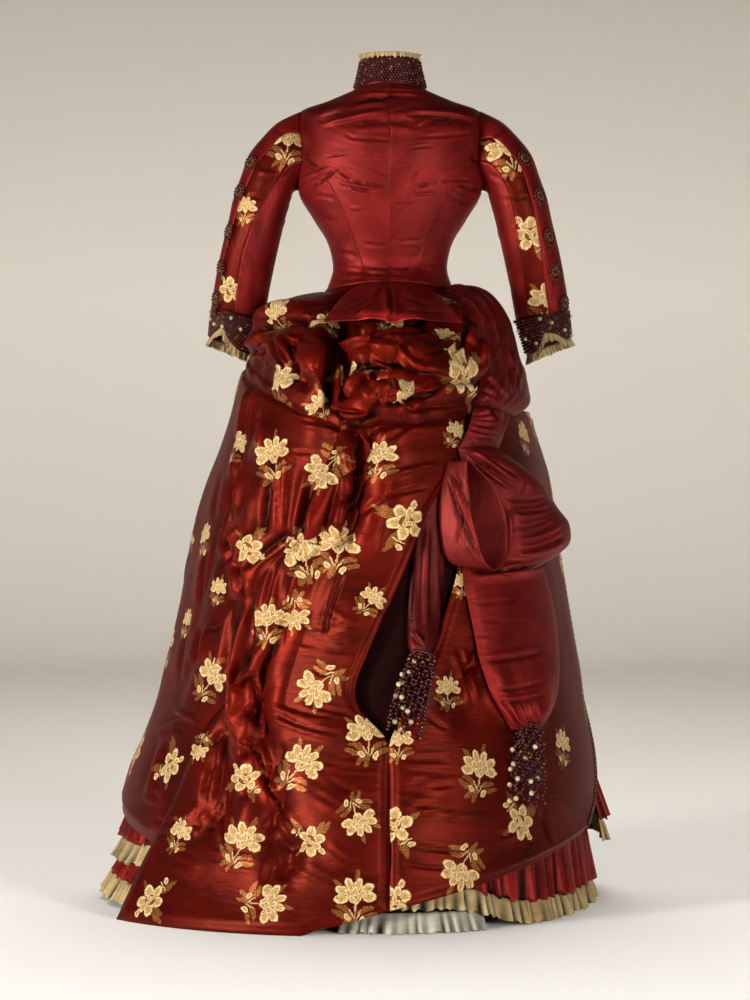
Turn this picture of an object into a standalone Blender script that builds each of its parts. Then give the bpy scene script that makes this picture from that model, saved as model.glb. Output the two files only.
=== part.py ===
"""A bustle dress of about 1885: satin basque bodice, draped brocade overskirt, flounced underskirt and bow.

It stands as it is worn, hollow, with each cut piece as a thin closed wall. Tables are in millimetres and
degrees. +Z is up, +Y is the wearer's front and +X the wearer's right side. The origin is the middle of the
waist. Angles (phi) go round the body: 0 at the centre back, +90 at the right side, 180 at the centre front.
"""

from collections import namedtuple

import bpy
import numpy as np
from mathutils import Matrix

MM = 0.001
WAIST_HEIGHT = 1047.0
FLOOR = -WAIST_HEIGHT

# Walls of cloth and of frills, the gap at a seam, and how far a piece lies over the one below it.
CLOTH = 1.2
FRILL = 1.0
SEAM = 0.6
LAYER = CLOTH + 0.5

# Folds: millimetres to a degree round the skirt, the narrowest side of a fold, and how its ends fade.
FOLD_SCALE = 5.6
FOLD_WIDTH = 13.0
FOLD_FADE = 0.18
FOLD_START = 0.2

# A tucked edge: the share of the width that lies flat, and the share over which it rises again. Below a
# height, drapery keeps clear of the underskirt.
TUCK_FLAT = 0.055
TUCK_SHARE = 0.1
CLEAR = 5.0
CLEAR_BELOW = -70.0

SATIN, BROCADE, CREAM, LACE = "wine_satin", "brocade", "cream_frill", "white_lace"
BEADED, BUTTON = "beaded", "button"
Finish = namedtuple("Finish", "colour roughness")
FINISHES = {
    SATIN: Finish("5A0F16", 0.35),
    BROCADE: Finish("7A1512", 0.4),
    CREAM: Finish("D8BE8C", 0.7),
    LACE: Finish("C9C0AE", 0.8),
    BEADED: Finish("2E0D0C", 0.3),
    BUTTON: Finish("3A0C0E", 0.25),
}

# The underskirt: half widths to the left and right, depths to the front and back.
Section = namedtuple("Section", "z left right front back")
SKIRT = [
    Section(-12, 88, 88, 76, 66),
    Section(-45, 104, 100, 92, 96),
    Section(-87, 165, 160, 112, 185),
    Section(-147, 200, 185, 130, 262),
    Section(-187, 222, 200, 140, 300),
    Section(-270, 248, 222, 155, 338),
    Section(-337, 272, 240, 165, 352),
    Section(-437, 302, 258, 180, 366),
    Section(-588, 332, 283, 205, 388),
    Section(-721, 362, 306, 235, 416),
    Section(-850, 395, 320, 265, 446),
    Section(-972, 420, 325, 290, 462),
    Section(-1047, 440, 328, 300, 470),
]

# The bodice: rings from the basque's hem (0) over the waist (1) and the shoulder (7) to the neck (9).
Ring = namedtuple("Ring", "level half back front z_back z_side z_front")
BODICE = [
    Ring(0, 106, 96, 106, -22, -37, -50),
    Ring(1, 95.5, 75, 86, 0, 0, -6),
    Ring(2, 104, 81, 96, 40, 40, 34),
    Ring(3, 128, 92, 116, 80, 80, 78),
    Ring(4, 150, 99, 131, 115, 117, 120),
    Ring(5, 156, 103, 130, 150, 150, 152),
    Ring(6, 154, 103, 118, 190, 200, 184),
    Ring(7, 150, 88, 96, 250, 257, 236),
    Ring(8, 103, 68, 78, 282, 277, 264),
    Ring(9, 60, 54, 63, 305, 295, 284),
]

# The armhole, round from the shoulder point (0) by the back and the underarm (180) to the front.
Armhole = namedtuple("Armhole", "angle phi level")
ARMHOLE = [
    Armhole(0, 90, 7.0),
    Armhole(28, 81, 6.65),
    Armhole(52, 76, 6.3),
    Armhole(75, 72, 5.95),
    Armhole(100, 70, 5.55),
    Armhole(125, 78, 5.0),
    Armhole(150, 87, 4.6),
    Armhole(180, 97, 4.4),
    Armhole(210, 105, 4.65),
    Armhole(235, 111, 5.1),
    Armhole(260, 113, 5.55),
    Armhole(285, 111, 5.95),
    Armhole(308, 107, 6.3),
    Armhole(332, 99, 6.65),
    Armhole(360, 90, 7.0),
]

# The curved side-back seam, from the basque's hem up to the armhole.
SideSeam = namedtuple("SideSeam", "level phi")
SIDE_BACK = [
    SideSeam(0, 25),
    SideSeam(1, 28),
    SideSeam(2, 33),
    SideSeam(3, 34),
    SideSeam(4, 36),
    SideSeam(4.8, 42),
    SideSeam(5.2, 53),
    SideSeam(5.55, 70),
]
SIDE_BACK_TOP = 70.0
SIDE_SEAM = 97.0
UNDERARM_TOP = 5.55
UNDERARM_ANGLES = [100, 125, 150, 180]
BODICE_BACK_COLUMNS = 4
BODICE_FRONT_COLUMNS = 5

# The right sleeve, from the armhole (0) to the end of the cuff (10): each ring is an ellipse between an
# outer and an inner point, half as deep as depth and set to y. The last two are the angles of the back
# sleeve seams, which lie a little differently on the two arms.
Sleeve = namedtuple("Sleeve", "level outer_x outer_z inner_x inner_z depth y seam_left seam_right")
SLEEVE = [
    Sleeve(0, 152, 257, 159, 131, 46, 4, 100, 100),
    Sleeve(1, 184, 241, 162.5, 124, 50, 2, 106, 104),
    Sleeve(2, 212, 214, 165, 115, 52, 0, 108, 104),
    Sleeve(3, 233, 187, 168, 104, 51, -3, 104, 103),
    Sleeve(4, 247, 149, 172, 90, 48.5, -5, 97, 103),
    Sleeve(5, 259, 115, 177, 70, 46.5, -6, 89, 105),
    Sleeve(6, 267, 78, 183, 45, 45, -5, 82, 108),
    Sleeve(7, 277, 38, 191, 10, 43, -1, 77, 113),
    Sleeve(8, 286, -2, 199, -26, 41, 8, 78, 119),
    Sleeve(9, 298, -68, 210, -84, 38.5, 28, 82, 122),
    Sleeve(10, 304, -116, 229, -146, 37, 45, 85, 122),
]
SLEEVE_FRONT_SEAM = -100.0
SLEEVE_BACK_SEAM = 100.0
SLEEVE_UPPER_ANGLES = [-100, -75, -52, -28, 0, 28, 52, 75, 100]
SLEEVE_UNDER_ANGLES = [100, 125, 150, 180, 210, 235, 260]
SLEEVE_SEAM_TURN = 0.55

# The satin strip down each sleeve, over the brocade, and the cuff with its notch and frill.
STRIP_LEFT = [-28, 0, 28, 49]
STRIP_RIGHT = [0, 28, 52, 58]
STRIP_OUT = LAYER + 0.5
CUFF_LEVELS = [9.0, 9.5, 10.0]
CUFF_NOTCH_ANGLES = {-1: 60, 1: 85}
CUFF_NOTCH_WIDTH = 24
CUFF_NOTCH_SHARES = [0.0, 0.4, 0.5]
CUFF_FRILL_GAP = 1.15
CUFF_FRILL_DEPTH = 14.0
CUFF_FRILL_WAVES = 10
CUFF_FRILL_WAVE = [0.0, 4.0, 2.0]

# The standing collar's lower and upper edges, and the pleated frill that stands out of it.
CollarEdge = namedtuple("CollarEdge", "level half back front z_back z_side z_front")
COLLAR = [
    CollarEdge(0, 60, 54, 63, 305, 295, 284),
    CollarEdge(1, 54, 50, 55, 327, 319, 309),
    CollarEdge(2, 48.5, 47, 49, 348, 345, 336),
]
COLLAR_OPENING = 0.4
RUCHE_PLEATS = 20
RUCHE_HEIGHT = 7.0
RUCHE_LEAN = 1.0
RUCHE_DEPTH = 3.0

# The stand over the front closing, and its domed buttons, each a little off the line of the stand's columns.
STAND_TURN = 6.5
BUTTONS = 10
BUTTON_RADIUS = 6.5
BUTTON_FLATNESS = 0.5
BUTTON_RISE = 2.6
BUTTON_SHIFT = 0.3
BUTTON_TURN = 0.17
BUTTON_ENDS = 13.0

# A skirt piece is a table of rows from its top to its hem. A row is a line through its left end, its middle
# and its right end, each with a height z and a distance out from the underskirt.
Row = namedtuple("Row", "left_phi left_z left_out mid_z mid_out right_phi right_z right_out")
POUF_LEFT = [
    Row(-122, -13, 1.7, -13, 1.7, -26, -13, 1.7),
    Row(-122, -28, 1.7, -28, 1.7, -26, -28, 1.7),
    Row(-122, -45, 2.1, -45, 2.1, -26, -42, 3),
    Row(-122, -62, 8, -58, 14, -25, -62, 14),
    Row(-121, -82, 13, -78, 28, -20, -84, 28),
    Row(-120, -102, 17, -100, 42, -16, -106, 34),
    Row(-119, -118, 22, -122, 48, -15, -130, 38),
    Row(-118, -131, 23, -143, 48, -14, -154, 40),
    Row(-118, -139, 20, -155, 41, -14, -176, 42),
    Row(-118, -143, 17, -163, 33, -14, -198, 42),
    Row(-118, -147, 17, -172, 28, -14, -220, 40),
    Row(-118, -151, 18, -182, 25, -14.5, -242, 34),
    Row(-118, -156, 18, -194, 23, -15, -264, 24),
]
POUF_RIGHT = [
    Row(-25, -13, 1.7, -13, 1.7, 35, -13, 1.7),
    Row(-25, -28, 1.7, -28, 1.7, 35, -28, 1.7),
    Row(-24, -43, 3, -42, 3, 36, -42, 3),
    Row(-23, -64, 14, -62, 16, 38, -60, 14),
    Row(-22, -92, 26, -88, 28, 39, -82, 27),
    Row(-20.5, -122, 38, -118, 36, 39.5, -108, 36),
    Row(-19, -150, 52, -150, 46, 39, -138, 46),
    Row(-18.5, -172, 62, -180, 60, 38, -168, 54),
    Row(-18, -188, 60, -200, 66, 36.5, -190, 56),
    Row(-18, -196, 44, -208, 46, 34, -201, 42),
    Row(-18, -206, 46, -213, 46, 33, -206, 40),
    Row(-18, -220, 62, -222, 60, 33, -213, 46),
    Row(-18, -236, 62, -233, 54, 32, -221, 44),
    Row(-18, -244, 48, -240, 42, 32, -228, 32),
    Row(-17.5, -254, 48, -248, 38, 31.5, -234, 27),
    Row(-17, -264, 34, -258, 30, 31, -242, 23),
]
DRAPE_LEFT = [
    Row(-118, -156, 18, -194, 23, -15, -264, 24),
    Row(-118, -190, 18, -224, 21, -14, -292, 17),
    Row(-119, -235, 15, -266, 19, -15, -325, 14),
    Row(-120, -295, 12, -318, 17, -16.5, -365, 12),
    Row(-120, -360, 10, -378, 16, -18.5, -405, 10),
    Row(-120, -430, 9, -440, 15, -21.5, -450, 8),
    Row(-120, -490, 8, -496, 13, -26.5, -500, 7),
    Row(-120, -550, 8, -552, 13, -30, -552, 7),
    Row(-120, -606, 9, -606, 14, -32, -606, 7),
    Row(-120, -665, 10, -665, 15, -36, -665, 7),
    Row(-119, -720, 11, -722, 17, -41, -725, 7),
    Row(-119, -775, 15, -782, 20, -45, -790, 8),
    Row(-118, -828, 24, -842, 29, -47, -865, 18),
    Row(-118, -872, 38, -905, 42, -49, -950, 32),
]
DRAPE_BACK = [
    Row(-17, -264, 34, -258, 30, 31, -242, 23),
    Row(-17.5, -282, 32, -278, 26, 29.5, -270, 21),
    Row(-19, -310, 31, -308, 25, 25.5, -305, 21),
    Row(-21, -345, 32, -345, 24, 19, -345, 22),
    Row(-23, -385, 32, -385, 24, 13, -385, 22),
    Row(-25, -426, 30, -426, 24, 9, -425, 22),
    Row(-31, -459, 30, -462, 24, 5.5, -470, 22),
    Row(-37.7, -489, 30, -502, 24, 1.5, -517, 22),
    Row(-38.2, -540, 28, -554, 24, -2.2, -565, 22),
    Row(-36.5, -606, 27, -614, 24, -6, -620, 22),
    Row(-39.5, -650, 27, -660, 24, -8.5, -668, 22),
    Row(-43, -695, 28, -699, 24, -7.5, -702, 22),
    Row(-47.5, -742, 30, -750, 25, -0.6, -755, 18),
    Row(-50.5, -800, 33, -805, 27, -0.2, -810, 18),
    Row(-52.5, -862, 38, -866, 30, -0.2, -870, 20),
    Row(-55.5, -930, 48, -932, 38, -0.2, -926, 24),
    Row(-56, -992, 66, -1000, 48, -0.2, -970, 28),
    Row(-55, -1060, 92, -1062, 68, -0.2, -1010, 36),
]
DRAPE_RIGHT = [
    Row(33, -233, 20, -241, 20, 100, -250, 14),
    Row(28, -262, 15, -266, 17, 98, -270, 14),
    Row(26, -337, 12, -337, 16, 94, -337, 14),
    Row(24, -437, 12, -437, 15, 90, -437, 13),
    Row(22.5, -487, 13, -490, 14, 89, -500, 12),
    Row(17.9, -549, 13, -552, 14, 88, -560, 12),
    Row(14.4, -597, 14, -604, 14, 87.5, -615, 12),
    Row(8.3, -659, 15, -663, 15, 87, -670, 12),
    Row(2.7, -721, 17, -722, 16, 86.5, -725, 12),
    Row(0.2, -755, 18, -758, 17, 86, -765, 18),
    Row(0.2, -810, 18, -809, 18, 84, -808, 22),
    Row(0.2, -870, 21, -860, 20, 80, -846, 24),
    Row(0.2, -926, 24, -906, 22, 75, -876, 26),
    Row(0.2, -970, 28, -934, 24, 70, -896, 27),
    Row(0.2, -1010, 36, -960, 28, 66, -914, 28),
]
HIP_SWAG = [
    Row(36.2, -13, 1.7, -13, 1.7, 112, -13, 1.7),
    Row(36.2, -28, 1.7, -28, 1.7, 112, -28, 1.7),
    Row(37.5, -42, 3, -40, 4, 112, -42, 3),
    Row(39.5, -60, 14, -54, 24, 112, -62, 10),
    Row(40.5, -84, 24, -76, 30, 112, -90, 18),
    Row(41, -112, 28, -106, 26, 110, -122, 20),
    Row(40.5, -142, 28, -140, 24, 104, -155, 18),
    Row(39.5, -172, 27, -172, 24, 94, -188, 16),
    Row(38, -198, 27, -200, 25, 82, -214, 16),
    Row(35.5, -218, 28, -222, 28, 70, -234, 18),
    Row(33, -232, 28, -240, 30, 58, -250, 21),
]
BOW_KNOT = [
    Row(33, -232, 28, -237, 30, 49, -246, 28),
    Row(30, -246, 40, -248, 50, 47, -254, 36),
    Row(28, -264, 40, -266, 54, 44, -268, 38),
    Row(26, -282, 36, -283, 48, 42, -284, 36),
    Row(24, -297, 30, -299, 38, 40, -301, 34),
]
BOW_LOOP_WIDE = [
    Row(24, -297, 30, -299, 38, 40, -301, 34),
    Row(26, -330, 24, -330, 60, 49, -330, 34),
    Row(28, -365, 24, -364, 72, 57, -360, 34),
    Row(30.5, -400, 24, -398, 78, 64, -396, 36),
    Row(33, -435, 24, -432, 80, 71, -430, 44),
    Row(36, -466, 26, -462, 72, 70, -452, 42),
    Row(36, -484, 28, -482, 58, 60, -476, 36),
    Row(34, -497, 30, -497, 44, 50, -490, 30),
]
SASH_LONG = [
    Row(24, -472, 21, -474, 25, 56, -470, 22),
    Row(23, -500, 24, -502, 29, 59, -503, 24),
    Row(24, -540, 26, -542, 35, 60.5, -545, 26),
    Row(25.2, -586, 27, -588, 36, 60.5, -590, 27),
    Row(26, -625, 28, -627, 36, 59, -628, 28),
    Row(27.4, -660, 28, -663, 36, 57, -665, 28),
    Row(29.2, -692, 28, -696, 36, 54, -698, 28),
    Row(31.6, -719, 29, -722, 38, 49.5, -724, 29),
    Row(34, -742, 31, -743, 40, 44.5, -744, 31),
]
SASH_SHORT = [
    Row(15, -300, 19.0, -300, 19.0, 24, -300, 19.0),
    Row(12.5, -350, 12, -350, 14, 22, -350, 12),
    Row(10, -400, 10, -400, 13, 20.5, -400, 10),
    Row(8, -460, 10, -460, 13, 18.5, -460, 10),
    Row(6.5, -520, 11, -520, 14, 17, -520, 11),
    Row(5.6, -570, 13, -570, 18, 15.3, -570, 13),
    Row(5.5, -600, 17, -600, 24, 13.6, -600, 17),
    Row(6.5, -622, 22, -622, 30, 11.3, -622, 22),
]

# A fold runs over the cloth from one point to another, bowed to the left of its travel. It is a ridge, or a
# groove where its height is negative, and falls away over its own width on each side of its travel.
Fold = namedtuple("Fold", "phi_1 z_1 phi_2 z_2 bow left right height")
POUF_LEFT_FOLDS = [
    Fold(-26, -86, -84, -104, 6, 12, 14, 8),
    Fold(-26, -110, -66, -132, 6, 8, 10, -8),
    Fold(-32, -128, -23, -222, 8, 14, 12, 18),
    Fold(-22, -226, -42, -214, -6, 10, 12, 14),
    Fold(-31, -158, -30, -214, 0, 9, 9, -18),
    Fold(-45, -140, -42, -216, 4, 6, 6, 12),
    Fold(-40, -138, -38, -212, 2, 6, 6, 12),
    Fold(-62, -150, -55, -186, 0, 10, 10, -8),
]
POUF_RIGHT_FOLDS = [
    Fold(22, -88, 35, -190, 16, 8, 9, 14),
    Fold(7, -124, 18, -120, 0, 9, 9, -22),
    Fold(15, -120, -4, -188, -14, 22, 9, 12),
    Fold(-19, -172, 3, -142, 8, 12, 9, 8),
    Fold(-18, -184, 6, -190, 18, 7, 8, -9),
    Fold(-12, -200, -13, -236, 0, 18, 18, 7),
    Fold(-14, -236, -2, -212, 0, 7, 7, -12),
    Fold(-16, -253, -1, -224, 0, 9, 8, 14),
    Fold(-4, -228, 2, -262, 4, 7, 7, 12),
    Fold(4, -226, 18, -228, 0, 9, 9, -10),
]
DRAPE_LEFT_FOLDS = [
    Fold(-50, -232, -43, -640, 20, 44, 12, 15),
    Fold(-55, -430, -60, -735, 8, 34, 12, 10),
    Fold(-104, -800, -56, -772, 8, 16, 14, 7),
    Fold(-104, -848, -56, -836, 8, 18, 16, 8),
    Fold(-90, -300, -84, -760, 0, 40, 26, 7),
]
DRAPE_BACK_FOLDS = [
    Fold(-14, -262, -24, -520, -12, 14, 16, 16),
    Fold(-8, -258, -12, -452, 14, 13, 13, -22),
    Fold(3, -262, 2, -470, 0, 44, 26, 9),
    Fold(-18, -500, 1, -592, -16, 12, 18, 8),
    Fold(-33, -500, -31, -640, 0, 16, 20, 6),
    Fold(-43, -680, -36, -915, -4, 18, 20, -15),
    Fold(-34, -632, -18, -975, -10, 12, 20, -19),
    Fold(-37, -636, -28, -905, -6, 12, 12, 12),
    Fold(-28, -722, -5, -748, -4, 12, 16, 8),
    Fold(-23, -800, 2, -845, -4, 12, 16, 6),
    Fold(-20, -852, 2, -890, -4, 12, 16, 7),
    Fold(-17, -906, 2, -940, -4, 12, 16, 6),
]
DRAPE_RIGHT_FOLDS = [
    Fold(19, -596, 26, -750, -6, 10, 12, -10),
    Fold(-2, -790, 26, -800, 6, 12, 14, 5),
    Fold(-2, -838, 32, -852, 6, 12, 14, 5),
    Fold(-2, -884, 32, -902, 6, 12, 14, 5),
    Fold(84, -300, 80, -760, 0, 30, 30, 4),
]
HIP_SWAG_FOLDS = [
    Fold(46, -34, 37, -246, 24, 16, 8, 8),
    Fold(55, -34, 41, -248, 36, 16, 8, 9),
    Fold(64, -34, 45, -250, 44, 16, 8, 9),
    Fold(73, -34, 49, -252, 50, 16, 8, 9),
    Fold(82, -34, 53, -254, 54, 16, 8, 9),
    Fold(92, -36, 57, -256, 56, 16, 8, 8),
    Fold(102, -38, 61, -258, 56, 16, 8, 7),
]
BOW_KNOT_FOLDS = [
    Fold(40, -236, 29, -300, 0, 9, 7, 7),
    Fold(46, -240, 36, -300, 0, 9, 7, 7),
]
BOW_LOOP_WIDE_FOLDS = [
    Fold(25, -302, 50, -385, 6, 8, 14, 8),
    Fold(36, -392, 72, -440, 10, 12, 14, -7),
]
SASH_LONG_FOLDS = [
    Fold(30, -640, 36, -752, 0, 8, 8, 6),
    Fold(38, -650, 38.5, -752, 0, 8, 8, 6),
    Fold(46, -650, 41, -752, 0, 8, 8, 6),
    Fold(53, -640, 43, -752, 0, 8, 8, 5),
]
SASH_SHORT_FOLDS = [
    Fold(8, -560, 8.5, -628, 0, 6, 6, 5),
    Fold(12, -560, 10, -628, 0, 6, 6, 5),
]

# The draped pieces: their tables, columns (closer together at the right where closeness is over 1), how far
# the top edge is lowered from the piece above, and how the edges are tucked in and released. An edge may be
# tucked in to a distance from the underskirt, released row by row, and free in the last rows.
Drapery = namedtuple(
    "Drapery",
    "name rows folds columns closeness lowered tuck_left tuck_right release free finish",
    defaults=[SATIN],
)
DRAPERY = [
    Drapery("pouf_left", POUF_LEFT, POUF_LEFT_FOLDS, 16, 1.45, 0, None, 6, 0, 0, BROCADE),
    Drapery("drape_left", DRAPE_LEFT, DRAPE_LEFT_FOLDS, 16, 1.45, SEAM, None, 6, 0, 3, BROCADE),
    Drapery("pouf_right", POUF_RIGHT, POUF_RIGHT_FOLDS, 17, 1, 0, 14, None, 0, 0, BROCADE),
    Drapery("drape_back", DRAPE_BACK, DRAPE_BACK_FOLDS, 17, 1, SEAM, 14, None, 6, 0, BROCADE),
    Drapery("drape_right", DRAPE_RIGHT, DRAPE_RIGHT_FOLDS, 13, 1, SEAM, None, None, 0, 0, BROCADE),
    Drapery("hip_swag", HIP_SWAG, HIP_SWAG_FOLDS, 14, 1, 0, None, None, 0, 0),
    Drapery("bow_knot", BOW_KNOT, BOW_KNOT_FOLDS, 6, 1, SEAM, None, None, 0, 0),
    Drapery("bow_loop_wide", BOW_LOOP_WIDE, BOW_LOOP_WIDE_FOLDS, 6, 1, SEAM, None, None, 0, 0),
    Drapery("sash_long", SASH_LONG, SASH_LONG_FOLDS, 8, 1, 0, None, None, 0, 0),
    Drapery("sash_short", SASH_SHORT, SASH_SHORT_FOLDS, 5, 1, 0, None, None, 0, 0),
]

# The narrow bow loop is an oblique tube: its inner rim by the skirt and its outer rim towards the viewer.
Loop = namedtuple("Loop", "angle inner_phi inner_z outer_phi outer_z")
BOW_LOOP_NARROW = [
    Loop(0, 19.5, -318, 22.0, -322),
    Loop(45, 17.4, -352, 21.6, -352),
    Loop(90, 16.4, -410, 22.6, -412),
    Loop(135, 17.4, -458, 24.4, -466),
    Loop(180, 20.6, -478, 28.0, -492),
    Loop(225, 24.2, -458, 32.4, -468),
    Loop(270, 25.6, -410, 33.6, -420),
    Loop(315, 23.6, -352, 29.6, -360),
    Loop(360, 19.5, -318, 22.0, -322),
]
LOOP_INNER_OUT, LOOP_OUTER_OUT = 22.8, 66.0
LOOP_COLUMNS = 16

# The postilion, the pleated tail of the basque: its top and bottom edges, how far it arches, and the
# inverted pleat between its wings, as shares of its half width.
TAIL_TURN = 21.0
TAIL_GAP = SEAM + 0.2
TAIL_END_LEFT = -25.0
TAIL_END_RIGHT = 29.0
TAIL_END_Z = -134.0
TAIL_END_OUT = 64.0
TAIL_ARCH = 12.0
TAIL_PLEAT = 9.0
PLEAT_HALF_WIDTH = 0.16
PLEAT_LIP, PLEAT_LIP_PLACE, PLEAT_LIP_WIDTH = 0.35, 0.3, 0.12

# Rows and columns of the underskirt, and where its four breadths are sewn together.
UNDERSKIRT_LEVELS = [-12, -28, -45, -87, -147, -230, -337, -530, -780, -925, -1036]
UNDERSKIRT_STEP = 10
UNDERSKIRT_BREADTHS = {
    "underskirt_back": (-40, 40),
    "underskirt_right": (40, 110),
    "underskirt_front": (110, 250),
    "underskirt_left": (250, 320),
}

# Flounces: waves from one angle round by the front to the other, standing off the underskirt at each edge.
# At the left side each stands out further and hangs lower; at the back some rise towards their start.
Flounce = namedtuple(
    "Flounce", "name start end top bottom out_top out_bottom left drop waves wave rise finish"
)
FLOUNCES = [
    Flounce("flounce_pleated", 82, 302, -780, -915, 2.0, 30, -6, 36, 40, 13, 0, SATIN),
    Flounce("flounce_edging", 82, 302, -916, -950, 28, 32, 0, 36, 40, 9, 0, CREAM),
    Flounce("hem_flounce", 2, 302, -925, -1012, 1.75, 6, 22, 0, 24, 8, 36, SATIN),
    Flounce("hem_frill", 2, 302, -1013, -1046, 6, 10, 28, 0, 30, 8, 36, CREAM),
    Flounce("balayeuse", -10, 26, -1017, -1046, 1.7, 14, 0, 0, 8, 6, 0, LACE),
]
RISE_START, RISE_END = 14.0, 43.0

# One knife pleat and one soft wave, as heights along it; how far a pleat leans over the next one, and how
# full the top edge is beside the bottom one.
KNIFE_PLEATED = ("flounce_pleated", "flounce_edging")
KNIFE_PLEAT = [0.0, 1.0]
SOFT_WAVE = [0.0, 0.9, 0.7]
PLEAT_LEAN = 0.33
TOP_FULLNESS = 0.25

# Beaded tassels: a head at the sash's gathered end, and strands that hang from it.
Tassel = namedtuple("Tassel", "name phi z out lean length out_end")
TASSELS = [
    Tassel("tassel_long", 39.2, -744.0, 36, -3.5, 122, 40),
    Tassel("tassel_short", 8.9, -623.8, 27, -5.5, 122, 37),
]
TASSEL_ROWS, TASSEL_COLUMNS = 3, 6
TASSEL_HALF_WIDTH, TASSEL_HALF_DEPTH = 16.0, 8.8
TASSEL_HEAD = 8.0
STRAND_SPREAD = 1.7
STRAND_SHORTENING = 0.0625
STRAND_HALF_WIDTH = 1.7


def column(table, field):
    return np.array([getattr(row, field) for row in table], float)


def curve(table, key, field):
    """One column of a table as a smooth function of the key, which doesn't swing past the table's points."""
    xs, ys = column(table, key), column(table, field)
    if xs[0] > xs[-1]:
        xs, ys = xs[::-1], ys[::-1]
    steps = np.diff(xs)
    slopes = np.diff(ys) / steps
    tangents = np.zeros_like(ys)
    for i in range(1, len(xs) - 1):
        if slopes[i - 1] * slopes[i] > 0:
            before = 2 * steps[i] + steps[i - 1]
            after = steps[i] + 2 * steps[i - 1]
            tangents[i] = (before + after) / (before / slopes[i - 1] + after / slopes[i])
    tangents[0], tangents[-1] = slopes[0], slopes[-1]

    def value(x):
        x = np.clip(x, xs[0], xs[-1])
        k = np.clip(np.searchsorted(xs, x, side="right") - 1, 0, len(steps) - 1)
        t = (x - xs[k]) / steps[k]
        start = (2 * t**3 - 3 * t**2 + 1) * ys[k] + (t**3 - 2 * t**2 + t) * steps[k] * tangents[k]
        end = (3 * t**2 - 2 * t**3) * ys[k + 1] + (t**3 - t**2) * steps[k] * tangents[k + 1]
        return start + end

    return value


def curves(table, key):
    return {field: curve(table, key, field) for field in table[0]._fields if field != key}


SKIRT_CURVES = curves(SKIRT, "z")
BODICE_CURVES = curves(BODICE, "level")
COLLAR_CURVES = curves(COLLAR, "level")
SLEEVE_CURVES = curves(SLEEVE, "level")
ARMHOLE_CURVES = curves(ARMHOLE, "angle")
SIDE_BACK_CURVE = curve(SIDE_BACK, "level", "phi")


def smoothstep(x):
    x = np.clip(x, 0, 1)
    return x * x * (3 - 2 * x)


def moved_out(surface, a, b, out, sign=1.0):
    """Points of a surface of two values, moved along its normals."""
    a, b, out = np.broadcast_arrays(*(np.asarray(value, float) for value in (a, b, out)))
    step = 0.02
    along_a = surface(a + step, b) - surface(a - step, b)
    along_b = surface(a, b + step) - surface(a, b - step)
    normals = np.cross(along_a, along_b)
    normals /= np.linalg.norm(normals, axis=-1, keepdims=True)
    return surface(a, b) + normals * out[..., None] * sign


def skirt_surface(phi, z):
    turn = np.radians(phi)
    sine, cosine = np.sin(turn), np.cos(turn)
    side = np.where(sine < 0, SKIRT_CURVES["left"](z), SKIRT_CURVES["right"](z))
    deep = np.where(cosine > 0, SKIRT_CURVES["back"](z), SKIRT_CURVES["front"](z))
    return np.stack([side * sine, -deep * cosine, z + 0 * phi], -1)


def skirt(phi, z, out):
    points = moved_out(skirt_surface, phi, z, out)
    points[..., 2] = np.maximum(points[..., 2], FLOOR + CLOTH)
    return points


def ring_surface(shape):
    def surface(phi, level):
        turn = np.radians(phi)
        sine, cosine = np.sin(turn), np.cos(turn)
        backwards = cosine > 0
        deep = np.where(backwards, shape["back"](level), shape["front"](level))
        end = np.where(backwards, shape["z_back"](level), shape["z_front"](level))
        z = shape["z_side"](level) + (end - shape["z_side"](level)) * cosine**2
        return np.stack([shape["half"](level) * sine, -deep * cosine, z], -1)

    return surface


bodice_surface = ring_surface(BODICE_CURVES)
collar_surface = ring_surface(COLLAR_CURVES)


def armhole_edge(angle):
    angle = np.mod(angle, 360)
    return bodice_surface(ARMHOLE_CURVES["phi"](angle), ARMHOLE_CURVES["level"](angle)) + [SEAM, 0, 0]


def sleeve_ring(angle, level):
    turn = np.radians(angle)
    ring = {field: value(level) for field, value in SLEEVE_CURVES.items()}
    x = (ring["outer_x"] + ring["inner_x"]) / 2 + (ring["outer_x"] - ring["inner_x"]) / 2 * np.cos(turn)
    z = (ring["outer_z"] + ring["inner_z"]) / 2 + (ring["outer_z"] - ring["inner_z"]) / 2 * np.cos(turn)
    return np.stack([x, ring["y"] - ring["depth"] * np.sin(turn), z], -1)


def sleeve_surface(angle, level):
    """The right sleeve: rings all the way, pulled to the armhole's own edge at the top."""
    angle, level = np.broadcast_arrays(np.asarray(angle, float), np.asarray(level, float))
    pull = np.clip(1 - level, 0, 1)[..., None] ** 2
    return sleeve_ring(angle, level) + pull * (armhole_edge(angle) - sleeve_ring(angle, 0 * level))


def mirrored(points, side):
    return points * [side, 1, 1]


def between(grid, columns, rows, column_at, row_at):
    """Points on the flat faces of a grid, at places between its columns and rows."""
    c = np.interp(column_at, columns, np.arange(len(columns)))
    r = np.interp(row_at, rows, np.arange(len(rows)))
    c0 = np.clip(c.astype(int), 0, len(columns) - 2)
    r0 = np.clip(r.astype(int), 0, len(rows) - 2)
    u, v = (c - c0)[..., None], (r - r0)[..., None]
    top = grid[r0, c0] * (1 - u) + grid[r0, c0 + 1] * u
    low = grid[r0 + 1, c0] * (1 - u) + grid[r0 + 1, c0 + 1] * u
    return top * (1 - v) + low * v


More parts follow.
